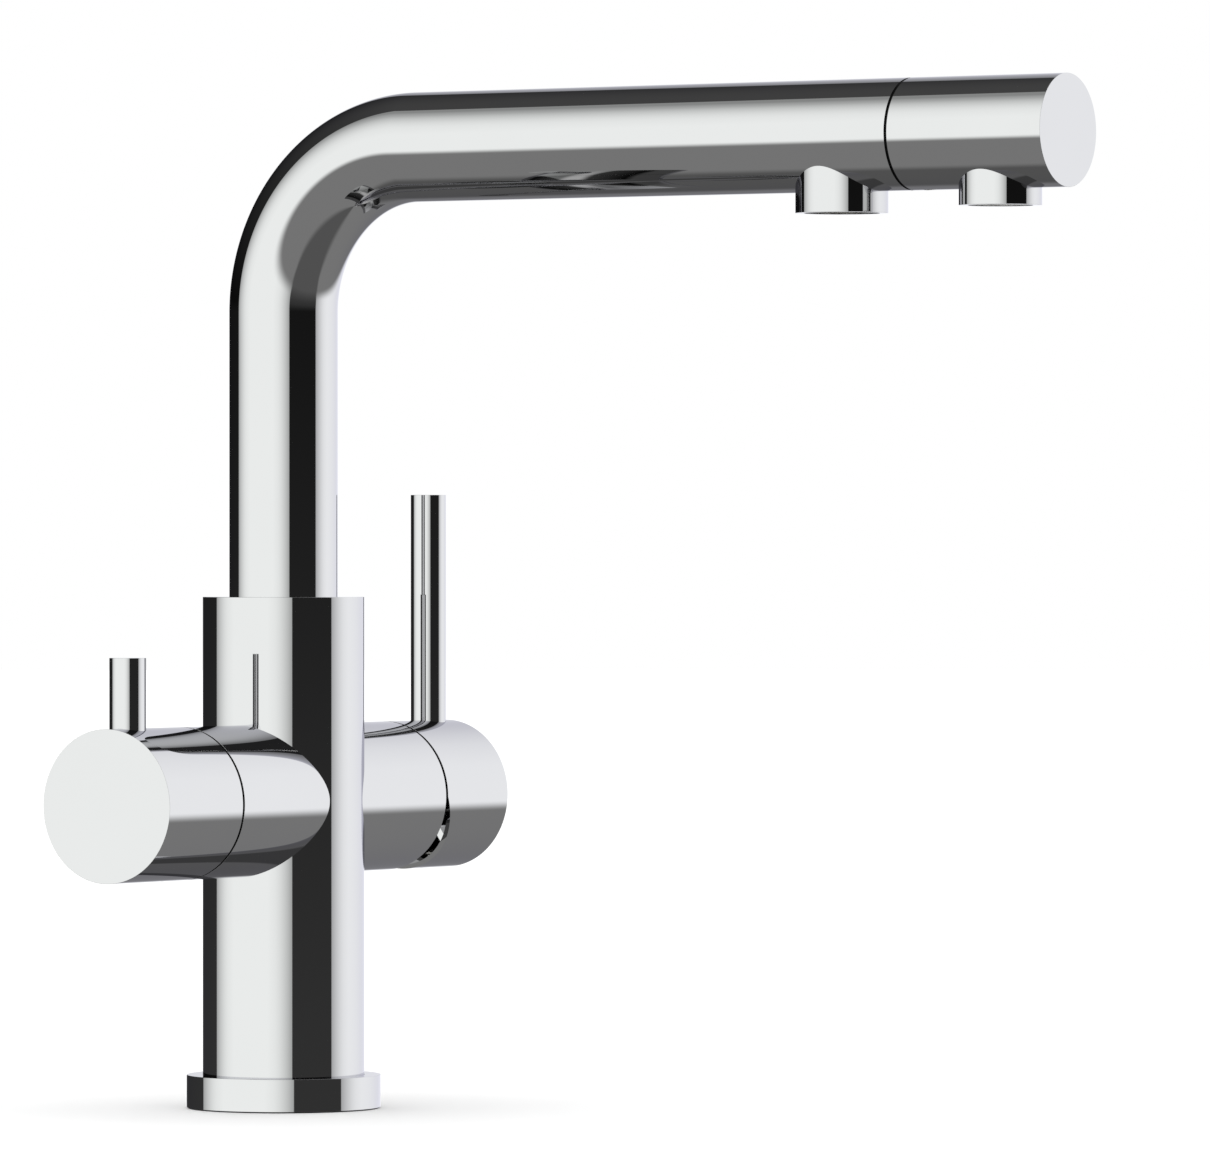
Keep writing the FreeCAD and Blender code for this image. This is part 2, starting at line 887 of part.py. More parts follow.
def handle_shell(side, rim, hub, end, wall):
    # Cup over the boss with a solid outer end
    edge = edge_break
    inside = arm_radius - wall
    profile = [
        (rim, inside),
        (rim, arm_radius - edge / 2),
        (rim + edge / 2, arm_radius),
        (end - edge, arm_radius),
        (end, arm_radius - edge),
        (end, 0),
        (hub, 0),
        (hub, inside),
    ]
    return arm_turned(side, profile)


def lever_holes(side, offset):
    seat = on_arm(side, offset, 0, arm_radius - lever_seat_depth)
    floor = seat - up * lever_thread_length
    return [
        rod(lever_diameter / 2 + fit_gap, seat, seat + up * arm_radius),
        rod(lever_thread_radius + fit_gap, floor, seat),
    ]


def handle_screw_place(side, hub, depth):
    return on_arm(side, hub + stem_grip / 2, 0, -depth)


def handle_screw_hole(side, hub):
    return rod(screw_radius, handle_screw_place(side, hub, arm_diameter), handle_screw_place(side, hub, 0))


def handle_screw(side, hub):
    tip = handle_screw_place(side, hub, stem_width / 2 + fit_gap)
    head = handle_screw_place(side, hub, stem_width / 2 + fit_gap + screw_length)
    return grub_screw(screw_radius, tip, head)


def stem_socket(side, hub):
    width = stem_width + 2 * fit_gap
    return bar(width, width, on_arm(side, hub), on_arm(side, hub + stem_grip + fit_gap))


def tilt_wedge():
    # Relief under the rim that lets the handle tip outwards
    drop = arm_diameter
    spread = drop * math.tan(math.radians(tilt_angle + wedge_margin))
    corners = [
        on_arm(1, mixer_rim, -arm_diameter, 0),
        on_arm(1, mixer_rim - 1, -arm_diameter, 0),
        on_arm(1, mixer_rim - 1, -arm_diameter, -drop),
        on_arm(1, mixer_rim + spread, -arm_diameter, -drop),
    ]
    corners.append(corners[0])
    return Part.Face(Part.makePolygon(corners)).extrude(rear * (2 * arm_diameter))


def mixer_pocket():
    # Hollow around the stem's grip, with posts left for the lever and the grub screw
    floor = on_arm(1, mixer_handle_end - mixer_end_wall)
    hollow = ring(mixer_pocket_diameter / 2, mixer_core_diameter / 2, on_arm(1, mixer_hub), floor)
    lever_foot = on_arm(1, mixer_lever_offset)
    lever_post = rod(lever_post_diameter / 2, lever_foot, lever_foot + up * arm_radius)
    screw_foot = handle_screw_place(1, mixer_hub, 0)
    screw_post = rod(screw_post_diameter / 2, screw_foot, screw_foot - up * arm_radius)
    return hollow.cut([lever_post, screw_post])


def mixer_handle():
    handle = handle_shell(1, mixer_rim, mixer_hub, mixer_handle_end, mixer_cup_wall)
    cuts = lever_holes(1, mixer_lever_offset)
    cuts.append(stem_socket(1, mixer_hub))
    cuts.append(handle_screw_hole(1, mixer_hub))
    cuts.append(tilt_wedge())
    cuts.append(mixer_pocket())
    return handle.cut(cuts)


def lever(side, offset, rise):
    seat = arm_radius - lever_seat_depth
    radius = lever_diameter / 2
    profile = [
        (seat - lever_thread_length, 0),
        (seat - lever_thread_length, lever_thread_radius),
        (seat, lever_thread_radius),
        (seat, radius),
        (rise - edge_break, radius),
        (rise, radius - edge_break),
        (rise, 0),
    ]
    return turned(profile, on_arm(side, offset), up)


def filter_valve_body():
    bore = spindle_radius + running_gap
    return valve_housing(-1, filter_roof, filter_shoulder, filter_neck_end, bore)


def filter_clamp_nut():
    return clamp_nut(-1, filter_shoulder, filter_neck_end - clamp_nut_stand, filter_neck_end)


def filter_moving_disc():
    disc = arm_rod(-1, filter_disc_radius, disc_slide, disc_top)
    floor = disc_slide + disc_thickness / 2
    cuts = []
    for across, rise in ((0, 0), (0, port_circle)):
        start = on_arm(-1, disc_slide, across, rise)
        cuts.append(rod(passage_radius, start, on_arm(-1, floor, across, rise)))
    link = on_arm(-1, disc_slide, 0, port_circle / 2)
    cuts.append(bar(2 * passage_radius, port_circle, link, on_arm(-1, floor, 0, port_circle / 2)))
    return disc.cut(cuts)


def spindle_ring_places():
    first = filter_shoulder + spindle_ring_inset
    return first, first + spindle_ring_spacing


def filter_spindle():
    round_end = filter_hub - spindle_shoulder_gap
    spindle = arm_rod(-1, filter_disc_radius, disc_top, spindle_flange_top)
    shaft = arm_rod(-1, spindle_radius, spindle_flange_top, round_end)
    square = bar(stem_width, stem_width, on_arm(-1, round_end), on_arm(-1, filter_hub + stem_grip))
    spindle = spindle.fuse([shaft, square])
    half = spindle_ring_section + fit_gap
    cuts = []
    for place in spindle_ring_places():
        floor = spindle_radius - 2 * spindle_ring_section
        start = on_arm(-1, place - half)
        cuts.append(ring(spindle_radius + 1, floor, start, on_arm(-1, place + half)))
    return spindle.cut(cuts).removeSplitter()


def filter_spindle_o_rings():
    rings = []
    for place in spindle_ring_places():
        reach = spindle_radius - spindle_ring_section + running_gap / 2
        rings.append(Part.makeTorus(reach, spindle_ring_section, on_arm(-1, place), right))
    return Part.makeCompound(rings)


def filter_handle():
    handle = handle_shell(-1, filter_rim, filter_hub, filter_handle_end, filter_cup_wall)
    cuts = lever_holes(-1, filter_lever_offset)
    cuts.append(stem_socket(-1, filter_hub))
    cuts.append(handle_screw_hole(-1, filter_hub))
    return handle.cut(cuts)


def filter_glide_washer():
    outer = arm_radius - glide_washer_inset
    inner = arm_bore + glide_washer_inset
    start = on_arm(-1, filter_boss_reach)
    return ring(outer, inner, start, on_arm(-1, filter_rim - running_gap))


pieces = {
    "base_gasket": base_gasket(),
    "base_flange": base_flange(),
    "body_casting": body_casting(),
    "mounting_shank": mounting_shank(),
    "fixing_rubber": fixing_rubber(),
    "fixing_washer": fixing_washer(),
    "fixing_nut": fixing_nut(),
    "inlet_plate": inlet_plate(),
    "cold_riser": riser(1, -1),
    "hot_riser": riser(1, 1),
    "still_riser": riser(-1, -1),
    "sparkling_riser": riser(-1, 1),
    "riser_o_rings": riser_o_rings(),
    "waterway_core": waterway_core(),
    "core_o_ring": core_o_ring(),
    "filtered_swivel_ring": filtered_swivel_ring(),
    "spout_thrust_washer": thrust_washer(),
    "spout_retaining_screw": spout_retaining_screw(),
    "mixer_cartridge_seals": valve_seals(1),
    "mixer_cartridge_base": valve_base(1),
    "mixer_fixed_disc": fixed_disc(1),
    "mixer_cartridge_housing": mixer_cartridge_housing(),
    "mixer_clamp_nut": mixer_clamp_nut(),
    "mixer_rotor": mixer_rotor(),
    "mixer_pivot_pin": pivot_pin(pivot_pin_radius),
    "mixer_moving_disc": mixer_moving_disc(),
    "mixer_disc_carrier": mixer_disc_carrier(),
    "mixer_stem": mixer_stem(),
    "mixer_handle": mixer_handle(),
    "mixer_lever": lever(1, mixer_lever_offset, mixer_lever_rise),
    "mixer_grub_screw": handle_screw(1, mixer_hub),
    "filter_valve_seals": valve_seals(-1),
    "filter_valve_base": valve_base(-1),
    "filter_fixed_disc": fixed_disc(-1),
    "filter_valve_body": filter_valve_body(),
    "filter_clamp_nut": filter_clamp_nut(),
    "filter_glide_washer": filter_glide_washer(),
    "filter_moving_disc": filter_moving_disc(),
    "filter_spindle": filter_spindle(),
    "filter_spindle_o_rings": filter_spindle_o_rings(),
    "filter_handle": filter_handle(),
    "filter_lever": lever(-1, filter_lever_offset, filter_lever_rise),
    "filter_grub_screw": handle_screw(-1, filter_hub),
    "spout_foot": spout_foot(),
    "spout_glide_rings": spout_glide_rings(),
    "spout_o_rings": spout_o_rings(),
    "spout_tube": spout_tube(),
    "filtered_tube": filtered_tube(),
    "mixed_outlet": mixed_outlet(),
    "aerator_cup": aerator_cup(),
    "aerator_mesh": aerator_mesh(),
    "aerator_seal": aerator_seal(),
    "spout_end_plug": spout_end_plug(),
    "plug_o_ring": plug_o_ring(),
    "head_seam_ring": head_seam_ring(),
    "spout_head": spout_head(),
    "head_grub_screw": head_screw(),
    "filtered_outlet": filtered_outlet(),
    "filtered_flow_insert": filtered_flow_insert(),
    "filtered_insert_seal": filtered_insert_seal(),
}

os.makedirs("parts", exist_ok=True)
for name, shape in pieces.items():
    shape.exportStep("parts/" + name + ".step")
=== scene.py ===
import bmesh
import bpy
import json
import math
import numpy as np
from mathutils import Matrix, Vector

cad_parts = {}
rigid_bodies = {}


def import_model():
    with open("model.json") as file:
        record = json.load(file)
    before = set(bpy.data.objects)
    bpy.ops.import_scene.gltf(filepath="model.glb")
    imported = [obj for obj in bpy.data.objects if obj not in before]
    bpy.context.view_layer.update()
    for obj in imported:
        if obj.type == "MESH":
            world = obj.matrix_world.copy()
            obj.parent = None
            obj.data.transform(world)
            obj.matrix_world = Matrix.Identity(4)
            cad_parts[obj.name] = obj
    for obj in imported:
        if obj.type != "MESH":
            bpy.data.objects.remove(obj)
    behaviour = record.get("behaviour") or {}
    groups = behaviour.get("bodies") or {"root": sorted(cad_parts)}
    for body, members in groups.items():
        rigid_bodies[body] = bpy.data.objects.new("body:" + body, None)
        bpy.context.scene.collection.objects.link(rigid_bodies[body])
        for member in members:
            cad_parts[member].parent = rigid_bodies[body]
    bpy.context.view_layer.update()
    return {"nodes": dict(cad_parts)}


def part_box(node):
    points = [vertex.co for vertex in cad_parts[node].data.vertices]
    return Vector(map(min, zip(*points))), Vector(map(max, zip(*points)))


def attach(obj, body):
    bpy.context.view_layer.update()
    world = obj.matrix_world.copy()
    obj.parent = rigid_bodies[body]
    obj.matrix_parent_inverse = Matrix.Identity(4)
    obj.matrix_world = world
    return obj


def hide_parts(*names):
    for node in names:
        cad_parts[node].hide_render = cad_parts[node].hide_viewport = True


for leftover in list(bpy.data.objects):  # start from an empty scene
    bpy.data.objects.remove(leftover)
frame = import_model()
scene = bpy.context.scene
mm = 0.001  # settings are in millimetres and degrees, unless a note says metres
tiny = 1e-9  # metres, below which a radius counts as none
over = 1  # mm that a cut runs past a face
upAxis, rightAxis, frontAxis = Vector((0, 0, 1)), Vector((1, 0, 0)), Vector((0, -1, 0))
print("frame loaded:", len(frame["nodes"]), "nodes")


class Wire:
    # an output socket that can be written in sums
    def __init__(self, bench, socket):
        self.bench, self.socket = bench, socket

    def at(self, name):
        return Wire(self.bench, self.socket.node.outputs[name])

    def __add__(self, other):
        return self.bench.maths("ADD", self, other)

    def __radd__(self, other):
        return self.bench.maths("ADD", other, self)

    def __sub__(self, other):
        return self.bench.maths("SUBTRACT", self, other)

    def __rsub__(self, other):
        return self.bench.maths("SUBTRACT", other, self)

    def __mul__(self, other):
        return self.bench.maths("MULTIPLY", self, other)

    def __rmul__(self, other):
        return self.bench.maths("MULTIPLY", other, self)

    def __truediv__(self, other):
        return self.bench.maths("DIVIDE", self, other)

    def __rtruediv__(self, other):
        return self.bench.maths("DIVIDE", other, self)

    def __gt__(self, other):
        return self.bench.maths("GREATER_THAN", self, other)

    def __lt__(self, other):
        return self.bench.maths("LESS_THAN", self, other)

    def __abs__(self):
        return self.bench.maths("ABSOLUTE", self)


class Bench:
    # a node tree with one way of adding nodes to it
    def __init__(self, tree):
        self.tree = tree
        tree.nodes.clear()

    def put(self, kind, settings=None, values=None, out=0):
        node = self.tree.nodes.new(kind)
        for key, value in (settings or {}).items():
            if key == "stops":
                ramp = node.color_ramp.elements
                while len(ramp) < len(value):
                    ramp.new(1.0)
                for stop, (place, shade) in zip(ramp, value):
                    stop.position = place
                    stop.color = (shade, shade, shade, 1)
            else:
                setattr(node, key, value)
        for key, value in (values or {}).items():
            if isinstance(key, int):
                socket = node.inputs[key]
            else:
                socket = next(s for s in node.inputs if key in (s.identifier, s.name))
            for part in value if isinstance(value, list) else [value]:
                if isinstance(part, Wire):
                    self.tree.links.new(part.socket, socket)
                elif socket.type == "RGBA":
                    socket.default_value = (*part, 1)  # colours are written without alpha
                else:
                    socket.default_value = part
        return Wire(self, node.outputs[out]) if len(node.outputs) else None

    def maths(self, how, *terms):
        return self.put("ShaderNodeMath", {"operation": how}, dict(enumerate(terms)))


def finish(name, paint):
    material = bpy.data.materials.new(name)
    material.use_nodes = True
    bench = Bench(material.node_tree)
    spot = bench.put("ShaderNodeTexCoord", out="Object")
    shader = bench.put("ShaderNodeBsdfPrincipled", None, paint(bench, spot))
    bench.put("ShaderNodeOutputMaterial", None, {"Surface": shader})
    return material


def cloud(bench, spot, scale, detail=2.0, stretch=(1, 1, 1)):
    placed = bench.put("ShaderNodeMapping", None, {"Vector": spot, "Scale": stretch})
    return bench.put("ShaderNodeTexNoise", None, {"Vector": placed, "Scale": scale, "Detail": detail}, "Fac")


def blendColours(bench, share, low, high, how="MIX"):
    values = {"Factor_Float": share, "A_Color": low, "B_Color": high}
    return bench.put("ShaderNodeMix", {"data_type": "RGBA", "blend_type": how}, values, 2)


def bumped(bench, height, strength, reach=0.0001):  # reach in metres
    return bench.put("ShaderNodeBump", None, {"Strength": strength, "Distance": reach, "Height": height})


chrome = {
    "filmScale": 42, "filmDetail": 3.0, "grainScale": 900, "dull": (0.500, 0.500, 0.501),
    "bright": (0.509, 0.509, 0.510), "edgeTint": (0.711, 0.707, 0.764),
    "smooth": 0.014, "filmHaze": 0.012, "grainHaze": 0.006,
}


def chromePlate(bench, spot):
    film = cloud(bench, spot, chrome["filmScale"], chrome["filmDetail"])  # faint and uneven
    grain = cloud(bench, spot, chrome["grainScale"])
    return {
        "Base Color": blendColours(bench, film, chrome["dull"], chrome["bright"]),
        "Metallic": 1.0,
        "Roughness": chrome["smooth"] + film * chrome["filmHaze"] + grain * chrome["grainHaze"],
        "Specular Tint": chrome["edgeTint"],
    }


nickel = {
    "filmScale": 160, "filmDetail": 3.0, "lineScale": 500, "lineStretch": (9, 1, 1),
    "dull": (0.38, 0.37, 0.345), "bright": (0.44, 0.43, 0.405),
    "smooth": 0.03, "lineHaze": 0.04, "lineDepth": 0.08,
}


def satinNickel(bench, spot):
    film = cloud(bench, spot, nickel["filmScale"], nickel["filmDetail"])
    lines = cloud(bench, spot, nickel["lineScale"], stretch=nickel["lineStretch"])
    return {
        "Base Color": blendColours(bench, film, nickel["dull"], nickel["bright"]),
        "Metallic": 1.0,
        "Roughness": nickel["smooth"] + lines * nickel["lineHaze"],
        "Normal": bumped(bench, lines, nickel["lineDepth"]),
    }


machined = {
    "tarnishScale": 110, "tarnishDetail": 4.0, "lineScale": 700, "lineStretch": (1, 1, 8),
    "smooth": 0.20, "tarnishHaze": 0.14, "lineHaze": 0.08, "lineDepth": 0.12,
}


def warmMetal(low, high):
    def paint(bench, spot):
        tarnish = cloud(bench, spot, machined["tarnishScale"], machined["tarnishDetail"])
        lines = cloud(bench, spot, machined["lineScale"], stretch=machined["lineStretch"])  # tool marks
        haze = tarnish * machined["tarnishHaze"] + lines * machined["lineHaze"]
        return {
            "Base Color": blendColours(bench, tarnish, low, high),
            "Metallic": 1.0,
            "Roughness": machined["smooth"] + haze,
            "Normal": bumped(bench, lines, machined["lineDepth"]),
        }
    return paint


mould = {"mottleScale": 220, "mottleDetail": 3.0, "grainHaze": 0.12}


def moulded(low, high, gloss, grainScale, depth, sheen=0.5):
    def paint(bench, spot):
        mottle = cloud(bench, spot, mould["mottleScale"], mould["mottleDetail"])
        grain = cloud(bench, spot, grainScale)
        return {
            "Base Color": blendColours(bench, mottle, low, high),
            "Roughness": gloss + grain * mould["grainHaze"],
            "Specular IOR Level": sheen,
            "Normal": bumped(bench, grain, depth),
        }
    return paint


finishes = {
    "chrome": finish("chromePlate", chromePlate),
    "nickel": finish("satinNickel", satinNickel),
    "brass": finish("castBrass", warmMetal((0.52, 0.36, 0.14), (0.74, 0.55, 0.24))),
    "copper": finish("copperPipe", warmMetal((0.62, 0.30, 0.17), (0.83, 0.47, 0.31))),
    "steel": finish("brightSteel", warmMetal((0.46, 0.46, 0.47), (0.62, 0.62, 0.63))),
    "rubber": finish("sealRubber", moulded(
        (0.008, 0.008, 0.009), (0.018, 0.018, 0.020), gloss=0.56, grainScale=1500, depth=0.25, sheen=0.2)),
    "black_plastic": finish("blackAcetal", moulded(
        (0.001, 0.001, 0.001), (0.003, 0.003, 0.003), gloss=0.5, grainScale=1100, depth=0.12, sheen=0.06)),
    "white_plastic": finish("whiteAcetal", moulded(
        (0.66, 0.66, 0.64), (0.78, 0.78, 0.76), gloss=0.32, grainScale=1100, depth=0.12)),
    "grey_plastic": finish("greyNylon", moulded(
        (0.22, 0.23, 0.24), (0.32, 0.33, 0.34), gloss=0.38, grainScale=1300, depth=0.18)),
    "ceramic": finish("polishedCeramic", moulded(
        (0.74, 0.73, 0.70), (0.82, 0.81, 0.78), gloss=0.10, grainScale=700, depth=0.04)),
}
print("finishes made:", len(finishes))


def easedRuns(corners, steps=5):
    # corners are (along, radius, round over); each run is start, end and the normals there
    spots = [np.array(corner[:2], float) * mm for corner in corners]
    rounds = [corner[2] * mm if len(corner) > 2 else 0.0 for corner in corners]
    closed = corners[0][1] > 0
    count = len(spots)
    stretches = count if closed else count - 1
    headings = [(spots[(k + 1) % count] - spots[k]) for k in range(stretches)]
    headings = [way / np.linalg.norm(way) for way in headings]
    outwards = [np.array((-way[1], way[0])) for way in headings]
    arcs = {}
    for k in range(count):
        if rounds[k] == 0 or (not closed and k in (0, count - 1)):
            arcs[k] = [spots[k]], []
            continue
        before, after = (k - 1) % stretches, k % stretches
        cross = headings[before][0] * headings[after][1] - headings[before][1] * headings[after][0]
        turn = math.acos(max(-1, min(1, float(headings[before] @ headings[after]))))
        start = spots[k] - headings[before] * rounds[k] * math.tan(turn / 2)
        side = 1 if cross < 0 else -1
        centre = start - outwards[before] * rounds[k] * side
        places, normals = [], []
        for step in range(steps + 1):
            lean = -side * turn * step / steps
            spin = np.array(((math.cos(lean), -math.sin(lean)), (math.sin(lean), math.cos(lean))))
            normal = spin @ outwards[before]
            places.append(centre + normal * rounds[k] * side)
            normals.append(normal)
        arcs[k] = places, normals
    runs = []
    for k in range(count):
        places, normals = arcs[k]
        for step in range(len(places) - 1):
            runs.append((places[step], places[step + 1], normals[step], normals[step + 1]))
        if k < stretches:
            runs.append((places[-1], arcs[(k + 1) % count][0][0], outwards[k], outwards[k]))
    return runs


def crossAxes(axis):
    across = rightAxis if abs(axis.x) < 0.5 else upAxis
    return across, axis.cross(across)


class Turning:
    # a shape turned about an axis, which also knows its own normals
    def __init__(self, corners, base, axis, segments=192):
        self.base, self.axis = Vector(base) * mm, Vector(axis)
        self.across, self.aside = crossAxes(self.axis)
        self.runs = easedRuns(corners)
        self.segments = segments

    def mesh(self, name):
        places = [run[0] for run in self.runs]
        if places[0][1] < tiny:
            places.append(self.runs[-1][1])
        verts, rows = [], []
        for along, radius in places:
            if radius < tiny:
                rows.append([len(verts)] * self.segments)
                verts.append(self.base + self.axis * along)
                continue
            rows.append(list(range(len(verts), len(verts) + self.segments)))
            for step in range(self.segments):
                turn = 2 * math.pi * step / self.segments
                out = self.across * math.cos(turn) + self.aside * math.sin(turn)
                verts.append(self.base + self.axis * along + out * radius)
        faces = []
        for k in range(len(self.runs)):
            low, high = rows[k], rows[(k + 1) % len(rows)]
            for step in range(self.segments):
                after = (step + 1) % self.segments
                loop = [low[step], low[after], high[after], high[step]]
                faces.append(list(dict.fromkeys(loop)))
        mesh = bpy.data.meshes.new(name)
        mesh.from_pydata([tuple(v) for v in verts], [], faces)
        return mesh

    def skins(self, sign=1):
        # one function for each run: how far off it points are, and the normals there
        base, axis = np.array(self.base), np.array(self.axis)

        def skin(run):
            start, end, first, last = run
            way = end - start
            reach = float(way @ way)

            def measure(points):
                rel = points - base
                along = rel @ axis
                out = rel - along[:, None] * axis
                radius = np.linalg.norm(out, axis=1)
                spots = np.stack((along, radius), 1)
                share = np.clip((spots - start) @ way / reach, 0, 1)
                miss = np.linalg.norm(spots - start - share[:, None] * way, axis=1)
                lean = first + share[:, None] * (last - first)
                lean /= np.linalg.norm(lean, axis=1)[:, None]
                unit = out / np.maximum(radius, tiny)[:, None]
                return miss, sign * (lean[:, :1] * axis + lean[:, 1:] * unit)
            return measure
        return [skin(run) for run in self.runs]


def flatSkin(place, normal):
    place, normal = np.array(place, float) * mm, np.array(normal, float)
    normal = normal / np.linalg.norm(normal)
    return lambda points: (np.abs((points - place) @ normal), np.tile(normal, (len(points), 1)))


fit = {"nearness": 0.00001, "leanWeight": 12}  # in metres, how a face finds the surface it lies on


def polish(mesh, skins):
    # each face takes the exact normals of the surface that it lies on
    spots = np.empty(len(mesh.vertices) * 3)
    mesh.vertices.foreach_get("co", spots)
    corner = np.empty(len(mesh.loops), int)
    mesh.loops.foreach_get("vertex_index", corner)
    starts, counts = np.empty(len(mesh.polygons), int), np.empty(len(mesh.polygons), int)
    mesh.polygons.foreach_get("loop_start", starts)
    mesh.polygons.foreach_get("loop_total", counts)
    flat = np.empty(len(mesh.polygons) * 3)
    mesh.polygons.foreach_get("normal", flat)
    flat = np.repeat(flat.reshape(-1, 3), counts, 0)
    points = spots.reshape(-1, 3)[corner]
    best = np.full(len(mesh.polygons), np.inf)
    chosen = np.zeros((len(corner), 3))
    for skin in skins:
        miss, normals = skin(points)
        lean = 1 - (normals * flat).sum(1)
        cost = np.maximum.reduceat(miss / fit["nearness"] + fit["leanWeight"] * lean, starts)
        better = cost < best
        best[better] = cost[better]
        taken = np.repeat(better, counts)
        chosen[taken] = normals[taken]
    mesh.polygons.foreach_set("use_smooth", np.ones(len(mesh.polygons), bool))
    mesh.normals_split_custom_set(chosen)
    return float(best.max())


def stand(name, mesh):
    piece = bpy.data.objects.new(name, mesh)
    scene.collection.objects.link(piece)
    return piece


def bake(piece):
    # the evaluated shape becomes the plain mesh, and the modifiers go
    graph = bpy.context.evaluated_depsgraph_get()
    mesh = bpy.data.meshes.new_from_object(piece.evaluated_get(graph))
    piece.modifiers.clear()
    old, piece.data = piece.data, mesh
    bpy.data.meshes.remove(old)
    mesh.name = piece.name


def carve(piece, mesh, how="DIFFERENCE"):
    tool = stand("tool", mesh)
    cut = piece.modifiers.new("cut", "BOOLEAN")
    cut.operation, cut.solver, cut.object = how, "EXACT", tool
    bake(piece)
    bpy.data.objects.remove(tool)
    bpy.data.meshes.remove(mesh)


def prism(name, outline, way):
    # flat outline pushed along a vector, faces outwards
    outline = [Vector(p) * mm for p in outline]
    way = Vector(way) * mm
    area = sum((outline[k - 1].cross(outline[k]) for k in range(len(outline))), Vector())
    if area.dot(way) > 0:
        outline.reverse()
    count = len(outline)
    verts = outline + [p + way for p in outline]
    faces = [list(range(count)), list(range(2 * count - 1, count - 1, -1))]
    for k in range(count):
        after = (k + 1) % count
        faces.append([after, k, k + count, after + count])
    mesh = bpy.data.meshes.new(name)
    mesh.from_pydata([tuple(v) for v in verts], [], faces)
    return mesh


def prismSkins(outline, way, sign=1):
    outline = [Vector(p) for p in outline]
    way = Vector(way)
    middle = sum(outline, Vector()) / len(outline) + way / 2
    skins = [flatSkin(outline[0], sign * -way), flatSkin(outline[0] + way, sign * way)]
    for k in range(len(outline)):
        normal = (outline[k] - outline[k - 1]).cross(way).normalized()
        if normal.dot(outline[k] - middle) < 0:
            normal = -normal
        skins.append(flatSkin(outline[k], sign * normal))
    return skins


def dress(piece, slot, body, *nodes):
    piece.data.materials.clear()
    piece.data.materials.append(finishes[slot])
    piece.data.polygons.foreach_set("material_index", [0] * len(piece.data.polygons))
    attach(piece, body)
    if nodes:
        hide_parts(*nodes)
    print(piece.name, len(piece.data.polygons), "faces")


def turnPiece(name, corners, base, axis, slot, body, node, segments=192):
    shape = Turning(corners, base, axis, segments)
    piece = stand(name, shape.mesh(name))
    polish(piece.data, shape.skins())
    dress(piece, slot, body, node)


sliver = 0.0000004  # metres, shorter edges are left over from the cuts


def cutPiece(piece, adds, cuts, skins):
    # adds and cuts are turnings or (outline, way) prisms
    for shape in adds:
        carve(piece, shape.mesh("tool"), "UNION")
        skins = skins + shape.skins()
    for shape in cuts:
        if isinstance(shape, Turning):
            carve(piece, shape.mesh("tool"))
            skins = skins + shape.skins(-1)
        else:
            carve(piece, prism("tool", *shape))
            skins = skins + prismSkins(*shape, sign=-1)
    shape = bmesh.new()
    shape.from_mesh(piece.data)
    bmesh.ops.dissolve_degenerate(shape, dist=sliver, edges=shape.edges)
    shape.to_mesh(piece.data)
    shape.free()
    print(piece.name, "cut, worst normal fit", round(polish(piece.data, skins), 2))


def drill(radius, start, end, segments=64):
    start, end = Vector(start), Vector(end)
    depth = (end - start).length
    corners = [(0, 0), (0, radius), (depth, radius), (depth, 0)]
    return Turning(corners, start, (end - start).normalized(), segments)


flange = {
    "radius": 27, "low": 0.3, "top": 9.3, "edge": 0.12, "lowEdge": 0.05, "bore": 22.55, "boreEdge": 0.1,
    "lip": 18.5, "ledge": 3.5, "sides": 256,
}
gasket = {"radius": 26.6, "edge": 0.1, "sides": 128}
turnPiece("baseFlange", [
    (flange["low"], flange["lip"]), (flange["low"], flange["radius"], flange["lowEdge"]),
    (flange["top"], flange["radius"], flange["edge"]), (flange["top"], flange["bore"], flange["boreEdge"]),
    (flange["ledge"], flange["bore"]), (flange["ledge"], flange["lip"]),
], (0, 0, 0), upAxis, "chrome", "body", "base_flange", flange["sides"])
turnPiece("baseGasket", [
    (0, flange["lip"]), (0, gasket["radius"], gasket["edge"]),
    (flange["low"], gasket["radius"], gasket["edge"]), (flange["low"], flange["lip"]),
], (0, 0, 0), upAxis, "rubber", "body", "base_gasket", gasket["sides"])

column = {
    "radius": 22.5, "low": 3.5, "top": 142.25, "edge": 0.12, "bore": 19, "footBore": 19.75, "footTop": 25.05,
    "socket": 15.18, "socketFloor": 112, "screwHeight": 119.85, "screwRadius": 2.5,
    "screwStart": 5, "screwReach": 30, "sides": 720, "boreSides": 192,
}
arms = {
    "axisHeight": 85.8, "radius": 21, "bore": 17.5, "boreFloor": 12.5, "edge": 0.05, "mixerEnd": 50.4,
    "filterEnd": 49.4,
}
armBase = (0, 0, arms["axisHeight"])
trunk = Turning([
    (column["low"], 0), (column["low"], column["radius"]), (column["top"], column["radius"], column["edge"]),
    (column["top"], 0),
], (0, 0, 0), upAxis, column["sides"])
branches = Turning([
    (-arms["filterEnd"], 0), (-arms["filterEnd"], arms["radius"], arms["edge"]),
    (arms["mixerEnd"], arms["radius"], arms["edge"]), (arms["mixerEnd"], 0),
], armBase, rightAxis, column["sides"])
hollow = Turning([
    (column["low"] - over, 0), (column["low"] - over, column["footBore"]),
    (column["footTop"], column["footBore"]), (column["footTop"], column["bore"]),
    (column["socketFloor"], column["bore"]), (column["socketFloor"], column["socket"]),
    (column["top"] + over, column["socket"]), (column["top"] + over, 0),
], (0, 0, 0), upAxis, column["boreSides"])
bores = []
for side, end in ((1, arms["mixerEnd"]), (-1, arms["filterEnd"])):
    deep, mouth = (side * arms["boreFloor"], 0, armBase[2]), (side * (end + over), 0, armBase[2])
    bores.append(drill(arms["bore"], deep, mouth, column["boreSides"]))
rearHole = drill(
    column["screwRadius"], (0, column["screwStart"], column["screwHeight"]),
    (0, column["screwReach"], column["screwHeight"]),
)
